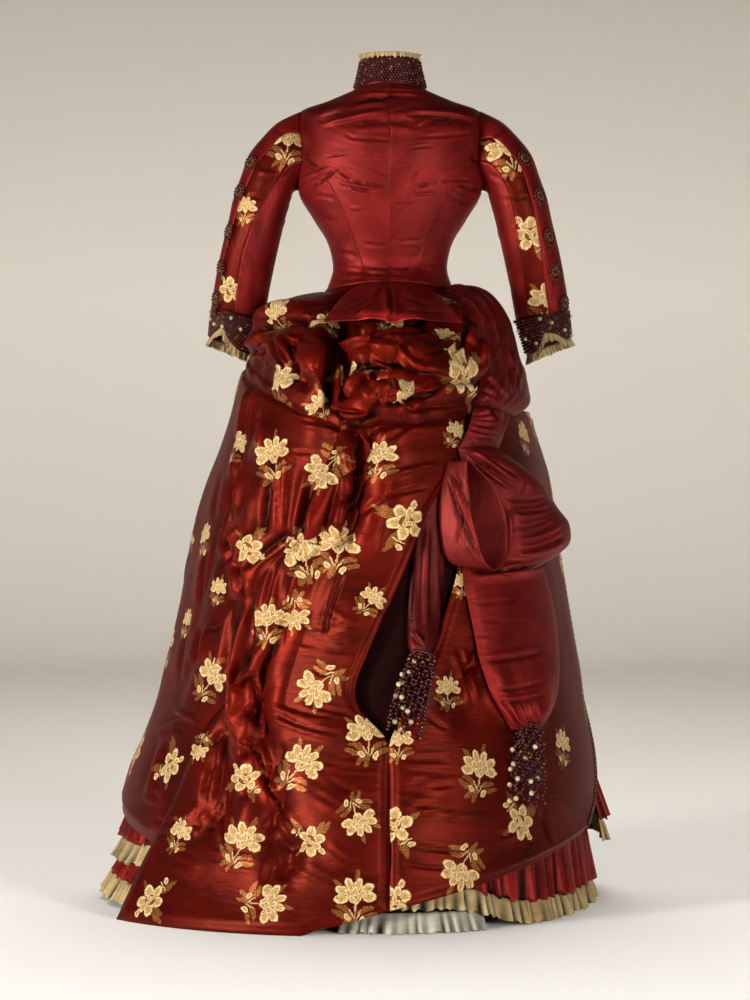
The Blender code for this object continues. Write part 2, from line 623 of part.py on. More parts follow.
def fold_height(folds, phi, z):
    total = np.zeros(np.broadcast(phi, z).shape)
    for fold in folds:
        along = np.array([(fold.phi_2 - fold.phi_1) * FOLD_SCALE, fold.z_2 - fold.z_1])
        length = np.hypot(*along)
        away_x, away_z = (phi - fold.phi_1) * FOLD_SCALE, z - fold.z_1
        t = (away_x * along[0] + away_z * along[1]) / length**2
        bowed = fold.bow * 4 * np.clip(t, 0, 1) * (1 - np.clip(t, 0, 1))
        side = (away_z * along[0] - away_x * along[1]) / length - bowed
        width = np.maximum(np.where(side > 0, fold.left, fold.right), FOLD_WIDTH)
        ends = smoothstep(t / FOLD_FADE + FOLD_START) * smoothstep((1 - t) / FOLD_FADE + FOLD_START)
        total += fold.height * np.exp(-((side / width) ** 2)) * ends
    return total


def draped(piece):
    """A skirt piece's grid: each table row is a smooth line through its three points, lifted by the folds."""
    u = 1 - (1 - np.linspace(0, 1, piece.columns + 1)) ** piece.closeness
    left, middle, right = (1 - u) * (1 - 2 * u), 4 * u * (1 - u), u * (2 * u - 1)
    last = len(piece.rows) - 1
    grid = []
    for number, row in enumerate(piece.rows):
        phi = row.left_phi + (row.right_phi - row.left_phi) * u
        z = row.left_z * left + row.mid_z * middle + row.right_z * right
        out = row.left_out * left + row.mid_out * middle + row.right_out * right
        if 0 < number < last:
            out = out + fold_height(piece.folds, phi, z)
        for tuck, place in ((piece.tuck_left, u), (piece.tuck_right, 1 - u)):
            if tuck is not None and number <= last - piece.free:
                edge = 1 - smoothstep((place - TUCK_FLAT) / TUCK_SHARE)
                out = out + (np.minimum(out, tuck + piece.release * number) - out) * edge
        if number == 0:
            z = z - piece.lowered
        grid.append(skirt(phi, z, np.maximum(out, np.where(z < CLEAR_BELOW, CLEAR, LAYER))))
    return np.array(grid)


def seam_turn(surface, phi, level):
    """The angle that leaves half a seam's gap at a place on a surface."""
    speed = np.linalg.norm(surface(phi + 0.05, level) - surface(phi - 0.05, level), axis=-1) / 0.1
    return 0.5 * SEAM / speed


def clear_scene():
    for obj in list(bpy.data.objects):
        bpy.data.objects.remove(obj)


def material(name):
    found = bpy.data.materials.get(name)
    if found:
        return found
    colour, roughness = FINISHES[name]
    made = bpy.data.materials.new(name)
    made.use_nodes = True
    shader = made.node_tree.nodes["Principled BSDF"]
    linear = [(int(colour[i : i + 2], 16) / 255) ** 2.2 for i in (0, 2, 4)]
    shader.inputs["Base Color"].default_value = (*linear, 1)
    shader.inputs["Roughness"].default_value = roughness
    return made


def wall(name, grid, finish, thickness=CLOTH, ring=False, flip=False):
    """A thin closed wall whose outer side is the grid: rows from the top down, columns with growing phi."""
    rows, columns = grid.shape[:2]
    index = np.arange(rows * columns).reshape(rows, columns)
    if ring:
        index = np.hstack([index, index[:, :1]])
    a, b = index[:-1, :-1].ravel(), index[1:, :-1].ravel()
    c, d = index[1:, 1:].ravel(), index[:-1, 1:].ravel()
    faces = np.concatenate([np.stack([a, b, c], 1), np.stack([a, c, d], 1)])
    if flip:
        faces = faces[:, ::-1]
    mesh = bpy.data.meshes.new(name)
    mesh.from_pydata((grid.reshape(-1, 3) * MM).tolist(), [], faces.tolist())
    mesh.materials.append(material(finish))
    mesh.shade_smooth()
    obj = bpy.data.objects.new(name, mesh)
    bpy.context.scene.collection.objects.link(obj)
    solid = obj.modifiers.new("wall", "SOLIDIFY")
    solid.thickness = thickness * MM
    solid.offset = -1
    return obj


SIDE_LEVELS = np.array([5.55, 5.2, 4.8, 4, 3, 2, 1, 0])


def bodice_back(side):
    name = "bodice_back_right" if side > 0 else "bodice_back_left"
    levels = [9, 8, 7, 6.65, 6.3, 5.95, *SIDE_LEVELS]
    edge = [90, 90, *ARMHOLE_CURVES["phi"]([0, 28, 52, 75]), *SIDE_BACK_CURVE(SIDE_LEVELS)]
    edge, levels = np.array(edge, float), np.array(levels, float)
    start = seam_turn(bodice_surface, 0 * edge, levels)
    end = edge - seam_turn(bodice_surface, edge, levels)
    phi = start[:, None] + (end - start)[:, None] * np.linspace(0, 1, BODICE_BACK_COLUMNS + 1)
    grid = bodice_surface(phi, levels[:, None] + 0 * phi)
    return wall(name, mirrored(grid, side), SATIN, flip=side < 0)


def bodice_side(side):
    name = "bodice_side_right" if side > 0 else "bodice_side_left"
    fractions = SIDE_LEVELS / UNDERARM_TOP
    tops = ARMHOLE_CURVES["level"](UNDERARM_ANGLES)
    level = fractions[:, None] * tops
    share = (ARMHOLE_CURVES["phi"](UNDERARM_ANGLES) - SIDE_BACK_TOP) / (SIDE_SEAM - SIDE_BACK_TOP)
    inner = SIDE_BACK_CURVE(fractions * UNDERARM_TOP)
    start = inner + seam_turn(bodice_surface, inner, level[:, 0])
    end = SIDE_SEAM - seam_turn(bodice_surface, SIDE_SEAM + 0 * inner, level[:, -1])
    phi = start[:, None] + (end - start)[:, None] * share
    return wall(name, mirrored(bodice_surface(phi, level), side), SATIN, flip=side < 0)


FRONT_LEVELS = [9, 8, 7, 6.65, 6.3, 5.95, 5.55, 5.1, 4.65, 4.4, 3, 2, 1, 0]
FRONT_TURNS = np.linspace(0, 1, BODICE_FRONT_COLUMNS + 1)


def bodice_front_grid():
    """The right front, from the side seam and the armhole to the centre front."""
    armhole = ARMHOLE_CURVES["phi"]([360, 332, 308, 285, 260, 235, 210, 180])
    edge = np.array([90, 90, *armhole, *[SIDE_SEAM] * 4])
    levels = np.array(FRONT_LEVELS, float)
    start = edge + seam_turn(bodice_surface, edge, levels)
    end = 180 - seam_turn(bodice_surface, 180 + 0 * edge, levels)
    phi = start[:, None] + (end - start)[:, None] * FRONT_TURNS
    return bodice_surface(phi, levels[:, None] + 0 * phi)


def bodice_front(side):
    name = "bodice_front_right" if side > 0 else "bodice_front_left"
    return wall(name, mirrored(bodice_front_grid(), side), SATIN, flip=side < 0)


def facing_frame(grid, row, column_number):
    """The outward direction of a grid at one of its points."""
    down = grid[min(row + 1, len(grid) - 1), column_number] - grid[max(row - 1, 0), column_number]
    across = grid[row, -1] - grid[row, 0]
    normal = np.cross(down, across)
    return normal / np.linalg.norm(normal)


def button_stand():
    """The stand over the centre-front closing, with its buttons raised on it."""
    right = bodice_front_grid()
    share = STAND_TURN / ((180 - SIDE_SEAM) / BODICE_FRONT_COLUMNS)
    edge = right[1:-1, -1] + (right[1:-1, -2] - right[1:-1, -1]) * share
    middle = right[1:-1, -1] * [0, 1, 1]
    grid = np.stack([edge, middle, mirrored(edge, -1)], 1)
    grid[..., 1] += LAYER
    stand = wall("button_stand", grid, SATIN)
    steps = np.linalg.norm(np.diff(grid[:, 1], axis=0), axis=1)
    down = np.concatenate([[0], np.cumsum(steps)])
    spacing = np.interp(np.linspace(BUTTON_ENDS, down[-1] - BUTTON_ENDS, BUTTONS), down, np.arange(len(grid)))
    for number, place in enumerate(spacing):
        row = int(place)
        centre = grid[row, 1] * (1 - place % 1) + grid[row + 1, 1] * (place % 1)
        normal = facing_frame(grid, row, 1)
        bpy.ops.mesh.primitive_uv_sphere_add(segments=6, ring_count=4, radius=BUTTON_RADIUS * MM)
        button = bpy.context.object
        button.name = f"button_{number}"
        button.data.materials.append(material(BUTTON))
        flat = Matrix.Diagonal((1, 1, BUTTON_FLATNESS, 1)) @ Matrix.Rotation(BUTTON_TURN, 4, "Z")
        turned = Matrix.Rotation(np.arctan2(normal[2], normal[1]) - np.pi / 2, 4, "X")
        button.data.transform(turned @ flat)
        button.location = (centre + [BUTTON_SHIFT, 0, 0] + normal * BUTTON_RISE) * MM
        button.hide_render = True
        button.display_type = "WIRE"
        join = stand.modifiers.new(button.name, "BOOLEAN")
        join.operation = "UNION"
        join.object = button
    return stand


def collar_grid():
    """The standing collar, from one side of its front opening round by the back to the other."""
    phi = np.concatenate([np.linspace(0, 90, 4, endpoint=False), np.linspace(90, 180, 6)])
    phi[-1] -= COLLAR_OPENING
    phi = np.concatenate([-phi[:0:-1], phi])
    levels = np.array([2, 1, 0], float)[:, None]
    grid = collar_surface(phi + 0 * levels, levels + 0 * phi)
    grid[..., 2] += SEAM
    return phi, grid


def collar_ruche(phi, collar):
    """Knife pleats that stand out of the collar's top edge."""
    places = np.linspace(phi[0], phi[-1], RUCHE_PLEATS * 2 + 1)
    top = between(collar[:2], phi, [0, 1], places, 0 * places)
    outward = top * [1, 1, 0]
    outward /= np.linalg.norm(outward, axis=-1, keepdims=True)
    crest = np.arange(len(places)) % 2
    low = top + [0, 0, SEAM]
    high = top + [0, 0, RUCHE_HEIGHT] + outward * (RUCHE_LEAN + RUCHE_DEPTH * crest[:, None])
    return wall("collar_ruche", np.array([high, low]), CREAM, thickness=FRILL)


def seam_curve(side):
    return SLEEVE_CURVES["seam_right" if side > 0 else "seam_left"]


def upper_angles(seam, gap):
    """Angles of the upper sleeve's columns, from the front seam to the back seam."""
    share = (np.array(SLEEVE_UPPER_ANGLES) - SLEEVE_FRONT_SEAM) / (SLEEVE_BACK_SEAM - SLEEVE_FRONT_SEAM)
    return SLEEVE_FRONT_SEAM + gap + share * (seam - SLEEVE_FRONT_SEAM - 2 * gap)


def under_angles(seam, gap):
    """Angles of the under sleeve's columns, from the back seam round to the front seam."""
    end = SLEEVE_FRONT_SEAM + 360
    share = (np.array(SLEEVE_UNDER_ANGLES) - SLEEVE_BACK_SEAM) / (end - SLEEVE_BACK_SEAM)
    return seam + gap + share * (end - seam - 2 * gap)


SLEEVE_LEVELS = np.array([0, 0.5, 1, 2, 3, 4, 5, 6, 7, 8, 9], float)


def sleeve(side):
    label = "right" if side > 0 else "left"
    seam = seam_curve(side)(SLEEVE_LEVELS)[:, None]
    upper = sleeve_surface(upper_angles(seam, SLEEVE_SEAM_TURN), SLEEVE_LEVELS[:, None])
    under = sleeve_surface(under_angles(seam, SLEEVE_SEAM_TURN), SLEEVE_LEVELS[:, None])
    wall(f"sleeve_upper_{label}", mirrored(upper, side), BROCADE, flip=side > 0)
    wall(f"sleeve_under_{label}", mirrored(under, side), SATIN, flip=side > 0)
    rows = SLEEVE_LEVELS
    stations = np.array(STRIP_RIGHT if side > 0 else STRIP_LEFT, float)
    places = np.broadcast_to(stations, (len(rows), len(stations)))
    strip = between(upper, SLEEVE_UPPER_ANGLES, SLEEVE_LEVELS, places, rows[:, None] + 0 * places)
    middle = sleeve_ring(places * 0 + 90, rows[:, None] + 0 * places) * [1, 0, 1]
    middle[..., 1] = SLEEVE_CURVES["y"](rows)[:, None]
    outward = strip - middle
    outward /= np.linalg.norm(outward, axis=-1, keepdims=True)
    strip = strip + outward * STRIP_OUT
    wall(f"sleeve_strip_{label}", mirrored(strip, side), SATIN, flip=side > 0)
    cuff(side, label)


def cuff(side, label):
    """The beaded cuff below the sleeve's end, and the frill that falls from it."""
    levels = np.array(CUFF_LEVELS)[:, None]
    seam = seam_curve(side)(levels)
    angles = np.hstack([upper_angles(seam, 0)[:, :-1], under_angles(seam, 0)[:, :-1]])
    band = sleeve_surface(angles, levels)
    arm = band[-1].mean(axis=0) - band[0].mean(axis=0)
    arm /= np.linalg.norm(arm)
    band[0] = band[0] + arm * SEAM
    notch = np.exp(-(((angles[-1] - CUFF_NOTCH_ANGLES[side]) / CUFF_NOTCH_WIDTH) ** 2))[:, None]
    for row, share in enumerate(CUFF_NOTCH_SHARES):
        band[row] += (band[0] - band[row]) * notch * share
    wall(f"cuff_band_{label}", mirrored(band, side), BEADED, ring=True, flip=side > 0)
    count = CUFF_FRILL_WAVES * len(CUFF_FRILL_WAVE)
    closed = np.concatenate([band[-1], band[-1][:1]])
    places = np.linspace(0, len(band[-1]), count, endpoint=False)
    start = between(np.array([closed, closed]), np.arange(len(closed)), [0, 1], places, 0 * places)
    outward = start - band[-1].mean(axis=0)
    outward /= np.linalg.norm(outward, axis=-1, keepdims=True)
    wave = np.tile(CUFF_FRILL_WAVE, CUFF_FRILL_WAVES)[:, None]
    top = start + arm * CUFF_FRILL_GAP
    end = start + arm * CUFF_FRILL_DEPTH + outward * wave
    wall(f"cuff_frill_{label}", mirrored(np.array([top, end]), side), CREAM, FRILL, ring=True, flip=side > 0)


def postilion():
    """The tail of the basque: two flat wings with an inverted pleat between them."""
    u = np.linspace(-1, 1, 13)
    v = np.linspace(0, 1, 6)[:, None]
    top = bodice_surface(u * TAIL_TURN, 0 * u) - [0, 0, TAIL_GAP]
    turn = TAIL_END_LEFT + (TAIL_END_RIGHT - TAIL_END_LEFT) * (u + 1) / 2
    end = skirt(turn, TAIL_END_Z + 0 * u, TAIL_END_OUT + 0 * u)
    grid = top * (1 - v[..., None]) + end * v[..., None]
    grid[..., 2] += TAIL_ARCH * 4 * v * (1 - v)
    lips = PLEAT_LIP * np.exp(-(((np.abs(u) - PLEAT_LIP_PLACE) / PLEAT_LIP_WIDTH) ** 2))
    pleat = TAIL_PLEAT * (np.exp(-((u / PLEAT_HALF_WIDTH) ** 2)) - lips) * v
    grid[..., 1] += pleat
    grid[..., 2] -= pleat / 2
    return wall("postilion", grid, SATIN)


def underskirt():
    for name, (start, end) in UNDERSKIRT_BREADTHS.items():
        levels = np.array(UNDERSKIRT_LEVELS, float)[:, None]
        phi = np.arange(start, end + 1, UNDERSKIRT_STEP) + 0.0 * levels
        phi[:, 0] += seam_turn(skirt_surface, phi[:, 0], levels[:, 0])
        phi[:, -1] -= seam_turn(skirt_surface, phi[:, -1], levels[:, 0])
        wall(name, skirt(phi, levels + 0 * phi, 0.0), SATIN)


def flounce(row):
    """Sharp knife pleats or soft waves, flat at the top edge and full at the bottom."""
    knife = row.name in KNIFE_PLEATED
    shape = KNIFE_PLEAT if knife else SOFT_WAVE
    wave = row.wave * np.array(shape * row.waves + shape[:1])
    phi = np.linspace(row.start, row.end, len(wave))
    if knife:
        phi[1::2] -= PLEAT_LEAN * (row.end - row.start) / row.waves
    rise = row.rise * (1 - smoothstep((phi - RISE_START) / (RISE_END - RISE_START)))
    left_side = np.maximum(-np.sin(np.radians(phi)), 0) ** 2
    sewn = row.out_top < LAYER + 0.5
    top_left = 0 if sewn else left_side
    top_out = row.out_top + TOP_FULLNESS * wave + row.left * top_left
    low_out = row.out_bottom + wave + row.left * left_side
    top = skirt(phi, row.top + rise - row.drop * top_left, top_out)
    low = skirt(phi, row.bottom + rise - row.drop * left_side, low_out)
    return wall(row.name, np.array([top, low]), row.finish, thickness=FRILL)


def tassel(row):
    """A flat head whose underside is divided into cells, with a strand drawn down out of each."""
    centre = skirt(np.array(row.phi), np.array(row.z), np.array(row.out))
    low = skirt(np.array(row.phi + row.lean), np.array(row.z - row.length), np.array(row.out_end))
    outward = centre * [1, 1, 0] / np.linalg.norm(centre[:2])
    across = np.cross(outward, [0, 0, 1])
    down = (low - centre) / np.linalg.norm(low - centre)
    verts, faces = [], []

    def point(a, b, drop):
        verts.append(centre + across * a + outward * b + down * drop)
        return len(verts) - 1

    xs = np.linspace(-TASSEL_HALF_WIDTH, TASSEL_HALF_WIDTH, TASSEL_COLUMNS + 1)
    ys = np.linspace(-TASSEL_HALF_DEPTH, TASSEL_HALF_DEPTH, TASSEL_ROWS + 1)
    square = np.array([(-1, -1), (1, -1), (1, 1), (-1, 1)]) * STRAND_HALF_WIDTH
    top = [[point(x, y, 0.0) for x in xs] for y in ys]
    under = [[point(x, y, TASSEL_HEAD) for x in xs] for y in ys]
    for r in range(TASSEL_ROWS):
        for c in range(TASSEL_COLUMNS):
            faces.append((top[r][c], top[r][c + 1], top[r + 1][c + 1], top[r + 1][c]))
            corners = [under[r][c], under[r][c + 1], under[r + 1][c + 1], under[r + 1][c]]
            x, y = (xs[c] + xs[c + 1]) / 2, (ys[r] + ys[r + 1]) / 2
            length = row.length * (1 - STRAND_SHORTENING * ((c * 2 + r * 3) % 5))
            root = [point(x + i, y + j, TASSEL_HEAD) for i, j in square]
            tip = [point(x * STRAND_SPREAD + i, y + j, length) for i, j in square]
            for i in range(4):
                j = (i + 1) % 4
                faces.append((corners[j], corners[i], root[i], root[j]))
                faces.append((root[j], root[i], tip[i], tip[j]))
            faces.append((tip[3], tip[2], tip[1], tip[0]))
    for c in range(TASSEL_COLUMNS):
        faces.append((top[0][c + 1], top[0][c], under[0][c], under[0][c + 1]))
        faces.append((top[-1][c], top[-1][c + 1], under[-1][c + 1], under[-1][c]))
    for r in range(TASSEL_ROWS):
        faces.append((top[r][0], top[r + 1][0], under[r + 1][0], under[r][0]))
        faces.append((top[r + 1][-1], top[r][-1], under[r][-1], under[r + 1][-1]))
    mesh = bpy.data.meshes.new(row.name)
    mesh.from_pydata((np.array(verts) * MM).tolist(), [], faces)
    mesh.materials.append(material(BEADED))
    obj = bpy.data.objects.new(row.name, mesh)
    bpy.context.scene.collection.objects.link(obj)
    return obj


def bow_loop_narrow():
    """One loop of the bow: an oblique tube from its rim by the skirt to its rim towards the viewer."""
    shape = curves(BOW_LOOP_NARROW, "angle")
    angle = np.linspace(360, 0, LOOP_COLUMNS, endpoint=False)
    inner = skirt(shape["inner_phi"](angle), shape["inner_z"](angle), LOOP_INNER_OUT)
    outer = skirt(shape["outer_phi"](angle), shape["outer_z"](angle), LOOP_OUTER_OUT)
    middle = (inner + outer) / 2
    return wall("bow_loop_narrow", np.array([outer, middle, inner]), SATIN, ring=True)


def main():
    clear_scene()
    for side in (-1, 1):
        bodice_back(side)
        bodice_side(side)
        bodice_front(side)
        sleeve(side)
    button_stand()
    phi, collar = collar_grid()
    wall("collar_band", collar, BEADED)
    collar_ruche(phi, collar)
    postilion()
    underskirt()
    for row in FLOUNCES:
        flounce(row)
    for piece in DRAPERY:
        wall(piece.name, draped(piece), piece.finish)
    bow_loop_narrow()
    for row in TASSELS:
        tassel(row)


main()
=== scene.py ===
# %% [markdown]
# # A bustle dress of about 1885
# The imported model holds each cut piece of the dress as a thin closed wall. This lesson dresses those walls:
# every piece gets a finer cloth on the same form, with its creases, its weave and its trimmings.

# %% The frame
import math
from collections import namedtuple

import bpy
import numpy as np
from mathutils import Euler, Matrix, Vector
from mathutils.bvhtree import BVHTree


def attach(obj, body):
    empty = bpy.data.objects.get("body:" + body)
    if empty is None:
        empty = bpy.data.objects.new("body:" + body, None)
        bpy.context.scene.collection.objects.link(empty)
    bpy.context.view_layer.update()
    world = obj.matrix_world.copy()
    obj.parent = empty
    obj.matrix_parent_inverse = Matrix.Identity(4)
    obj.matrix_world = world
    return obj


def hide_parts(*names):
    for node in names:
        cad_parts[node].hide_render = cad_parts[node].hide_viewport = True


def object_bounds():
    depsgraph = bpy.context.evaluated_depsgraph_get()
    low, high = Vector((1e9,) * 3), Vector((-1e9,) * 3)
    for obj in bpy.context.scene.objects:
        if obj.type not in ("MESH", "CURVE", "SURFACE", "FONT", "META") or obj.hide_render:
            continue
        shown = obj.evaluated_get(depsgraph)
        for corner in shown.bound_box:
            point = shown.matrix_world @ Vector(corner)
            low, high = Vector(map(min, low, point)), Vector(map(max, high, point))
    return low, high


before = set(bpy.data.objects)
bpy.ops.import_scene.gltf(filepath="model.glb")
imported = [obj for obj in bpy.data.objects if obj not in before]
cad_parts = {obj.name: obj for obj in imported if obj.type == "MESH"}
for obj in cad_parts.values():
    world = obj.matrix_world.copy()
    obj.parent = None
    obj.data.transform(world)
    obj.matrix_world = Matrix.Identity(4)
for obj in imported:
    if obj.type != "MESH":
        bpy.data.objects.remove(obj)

CAD_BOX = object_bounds()
MM = 0.001
FLOOR_Z = CAD_BOX[0].z
print("nodes", len(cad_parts), "floor at", round(FLOOR_Z, 4))

# %% [markdown]
# ## Camera
# The photograph was taken from behind with a long lens from about seven metres, a little below the waist
# and looking slightly down. Its frame is 750 by 1000 pixels, so one pixel is about 1.67 mm at the waist.

# %% Camera
PHOTO_WIDTH, PHOTO_HEIGHT = 750, 1000
FOCAL_PX = 4192
LOOKS_DOWN_PX, LOOKS_ASIDE_PX = 170, 15
PITCH, YAW = math.atan(LOOKS_DOWN_PX / FOCAL_PX), math.atan(LOOKS_ASIDE_PX / FOCAL_PX)
CAMERA_AT = (0, -7.0, -0.1035)
CAMERA_TURN = (math.pi / 2 - PITCH, 0, YAW)
SENSOR_MM = 36.0
FURTHEST_SEEN = 40

bpy.ops.object.select_all(action="DESELECT")
bpy.ops.object.camera_add(location=CAMERA_AT, rotation=CAMERA_TURN)
camera = bpy.context.object
camera.data.sensor_width = SENSOR_MM
camera.data.lens = SENSOR_MM * FOCAL_PX / PHOTO_HEIGHT
camera.data.clip_end = FURTHEST_SEEN
bpy.context.scene.camera = camera
print("lens", round(camera.data.lens, 1), "mm")


def photo_pixels(points):
    """Where points in metres show in the photograph, as pixels from its top left corner."""
    seen = (points - np.array(CAMERA_AT)) @ np.array(Euler(CAMERA_TURN).to_matrix())
    across = PHOTO_WIDTH / 2 - FOCAL_PX * seen[..., 0] / seen[..., 2]
    down = PHOTO_HEIGHT / 2 + FOCAL_PX * seen[..., 1] / seen[..., 2]
    return np.stack([across, down], -1)

# %% [markdown]
# ## Colours and nodes
# Colours are written as sRGB hex values and turned to linear light. One small function adds a shader node.

# %% Colour and node helpers
def linear(hex_colour):
    """An sRGB hex colour as linear red, green, blue and full alpha, by the sRGB standard's own curve."""
    parts = [int(hex_colour[i : i + 2], 16) / 255 for i in (0, 2, 4)]
    return (*[((c + 0.055) / 1.055) ** 2.4 if c > 0.04045 else c / 12.92 for c in parts], 1)


def add(tree, kind, settings=None, inputs=None):
    """Adds a node: settings are its properties, and each input is a value, a socket or another node."""
    node = tree.nodes.new("ShaderNode" + kind)
    for name, value in (settings or {}).items():
        setattr(node, name, value)
    for name, value in (inputs or {}).items():
        if isinstance(value, bpy.types.Node):
            value = value.outputs[0]
        if isinstance(value, bpy.types.NodeSocket):
            tree.links.new(value, node.inputs[name])
        else:
            node.inputs[name].default_value = value
    return node


def new_material(name):
    """A new material with an empty node tree."""
    made = bpy.data.materials.new(name)
    made.use_nodes = True
    made.node_tree.nodes.clear()
    return made, made.node_tree


def finish_material(made, tree, surface):
    """Links a shader to the material's output."""
    add(tree, "OutputMaterial", {}, {"Surface": surface})
    return made


# %% [markdown]
# ## The room
# A pale floor runs into a pale wall, with soft light from the camera's side. None of it is part of the
# dress.

# %% Floor and wall
WALL_Y, WALL_TOP, WALL_RADIUS = 5.8, 7.0, 1.2
HALF_ROOM = 9.0
BEND_STEPS = 12
UNDER_HEM = 0.5 * MM
profile = [(-HALF_ROOM, 0.0)]
for step in range(BEND_STEPS + 1):
    angle = math.pi / 2 * step / BEND_STEPS
    bend_y = WALL_Y - WALL_RADIUS + WALL_RADIUS * math.sin(angle)
    profile.append((bend_y, WALL_RADIUS * (1 - math.cos(angle))))
profile.append((WALL_Y, WALL_TOP))
floor_points = [(x, y, FLOOR_Z - UNDER_HEM + z) for y, z in profile for x in (-HALF_ROOM, HALF_ROOM)]
floor_faces = [(2 * i, 2 * i + 1, 2 * i + 3, 2 * i + 2) for i in range(len(profile) - 1)]
bpy.ops.mesh.primitive_plane_add(size=1, location=(0, 0, 0))
floor = bpy.context.object
floor.name = "floor"
floor.data.clear_geometry()
floor.data.from_pydata(floor_points, [], floor_faces)
floor.data.shade_smooth()
print("floor and wall", len(floor.data.polygons), "faces")

# %% [markdown]
# The backdrop is matte paper: it has no gloss, and a painted shade darkens it towards the back and the top,
# where the lamps' light falls off. Its back is clear, so that it hides nothing when the dress is looked at
# from the other side.

# %% Backdrop paper
RGBA = {"data_type": "RGBA"}
PAPER_NEAR, PAPER_FAR, PAPER_TOP = -1.2, 2.5, 2.2
paper, tree = new_material("matte_backdrop_paper")
place = add(tree, "TexCoord")
parts = add(tree, "SeparateXYZ", {}, {0: place.outputs["Object"]})
backwards = {"Value": parts.outputs["Y"], "From Min": PAPER_NEAR, "From Max": PAPER_FAR}
upwards = {"Value": parts.outputs["Z"], "From Min": 0.0, "From Max": PAPER_TOP}
depth = add(tree, "MapRange", {}, backwards)
height = add(tree, "MapRange", {}, upwards)
# Painted shade: the paper's colour darkens towards the back and the top, standing in for falling light.
painted_falloff = add(tree, "Mix", RGBA, {0: depth, 6: linear("FFFBF4"), 7: linear("F0E8DC")})
shade = add(tree, "Mix", RGBA, {0: height, 6: painted_falloff.outputs[2], 7: linear("9C9386")})
shader = add(tree, "BsdfPrincipled", {}, {"Base Color": shade.outputs[2], "Roughness": 0.9})
behind = add(tree, "NewGeometry").outputs["Backfacing"]
open_back = add(tree, "MixShader", {}, {0: behind, 1: shader, 2: add(tree, "BsdfTransparent")})
finish_material(paper, tree, open_back)
floor.data.materials.append(paper)
print("paper", len(tree.nodes), "nodes")

# %% [markdown]
# Two soft lamps stand low on the camera's side, the stronger on its left. A third lights the room alone, or
# the shoulders would be brighter than in the photograph. Places and sizes are in metres, powers in watts.

# %% Lights
Lamp = namedtuple("Lamp", "name x y z size power room_only", defaults=[False])
LAMPS = [
    Lamp("key", -4.0, -3.6, 0.1, 1.2, 290),
    Lamp("second", 2.6, -4.6, 0.0, 1.2, 125),
    Lamp("overhead", 0.0, 1.6, 3.4, 3.5, 132, True),
]
LAMPS_AIM = np.array([0, 0, -0.4])
DAYLIGHT, DAYLIGHT_STRENGTH = "E6E0D8", 0.09
room = bpy.data.collections.new("room")
room.objects.link(floor)
for lamp in LAMPS:
    bpy.ops.object.light_add(type="AREA", location=(lamp.x, lamp.y, lamp.z))
    light = bpy.context.object
    light.name = lamp.name
    light.data.size = lamp.size
    light.data.energy = lamp.power
    if lamp.room_only:
        light.light_linking.receiver_collection = room
    aim = LAMPS_AIM - [lamp.x, lamp.y, lamp.z]
    tilt = math.atan2(math.hypot(aim[0], aim[1]), -aim[2])
    light.rotation_euler = (tilt, 0, math.atan2(aim[1], aim[0]) - math.pi / 2)

world = bpy.data.worlds.new("studio")
world.use_nodes = True
background = world.node_tree.nodes["Background"]
background.inputs["Color"].default_value = linear(DAYLIGHT)
background.inputs["Strength"].default_value = DAYLIGHT_STRENGTH
bpy.context.scene.world = world
bpy.context.scene.view_settings.view_transform = "Standard"
print("lamps", [lamp.name for lamp in LAMPS])

# %% [markdown]
# ## From a wall to a grid
# Each wall of the frame is a grid of points with a rim round it and a second side under it. Reading the
# outer side back as rows and columns gives a form that can be made finer along both directions, and a way
# to know where on the cloth a point lies.

# %% Reading the outer side of a wall
CLOTH_WALL, FRILL_WALL = 1.2 * MM, 1.0 * MM
RIM_TOLERANCE = 0.02 * MM
MOST_PASSES = 400


def merged(node):
    """A wall's points and its triangles by point number, with loose corners at one place made one."""
    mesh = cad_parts[node].data
    mesh.calc_loop_triangles()
    corners = np.empty(len(mesh.vertices) * 3, np.float32)
    mesh.vertices.foreach_get("co", corners)
    triangles = np.empty(len(mesh.loop_triangles) * 3, np.int32)
    mesh.loop_triangles.foreach_get("vertices", triangles)
    points, index = np.unique(corners.reshape(-1, 3), axis=0, return_inverse=True)
    triangles = index.reshape(-1)[triangles.reshape(-1, 3)]
    return points.astype(float), triangles


def outer_side(points, triangles):
    """The triangles of a wall's outer side: the larger of the two sides once the rim is left out."""
    length = np.linalg.norm(points[triangles] - points[np.roll(triangles, -1, axis=1)], axis=2)
    rim = np.zeros(len(triangles), bool)
    for wall in (CLOTH_WALL, FRILL_WALL):
        rim |= (np.abs(length - wall) < RIM_TOLERANCE).any(axis=1)
    kept = triangles[~rim]
    label = np.arange(len(points))
    for _ in range(MOST_PASSES):
        lowest = label[kept].min(axis=1)
        before = label.copy()
        for corner in range(3):
            np.minimum.at(label, kept[:, corner], lowest)
        if (before == label).all():
            break
    a, b, c = (points[kept[:, corner]] for corner in range(3))
    area = np.linalg.norm(np.cross(b - a, c - a), axis=1)
    sides = {}
    for key, size in zip(label[kept[:, 0]], area):
        sides[key] = sides.get(key, 0) + size
    outer = max(sides, key=sides.get)
    return kept[label[kept[:, 0]] == outer]


# %% [markdown]
# The rows are found by walking. From one row, the triangles on each pair of neighbours point to the next
# row, and so on down to the last one.

# %% Walking from row to row
def opposite_points(triangles):
    """For each edge, the points of its triangles that lie across from it."""
    across = {}
    for a, b, c in triangles.tolist():
        for edge, point in ((frozenset((a, b)), c), (frozenset((b, c)), a), (frozenset((c, a)), b)):
            across.setdefault(edge, []).append(point)
    return across


def rim_paths(across):
    """The neighbours of each point along the side's open edges."""
    beside = {}
    for edge, points in across.items():
        if len(points) == 1:
            a, b = edge
            beside.setdefault(a, []).append(b)
            beside.setdefault(b, []).append(a)
    return beside


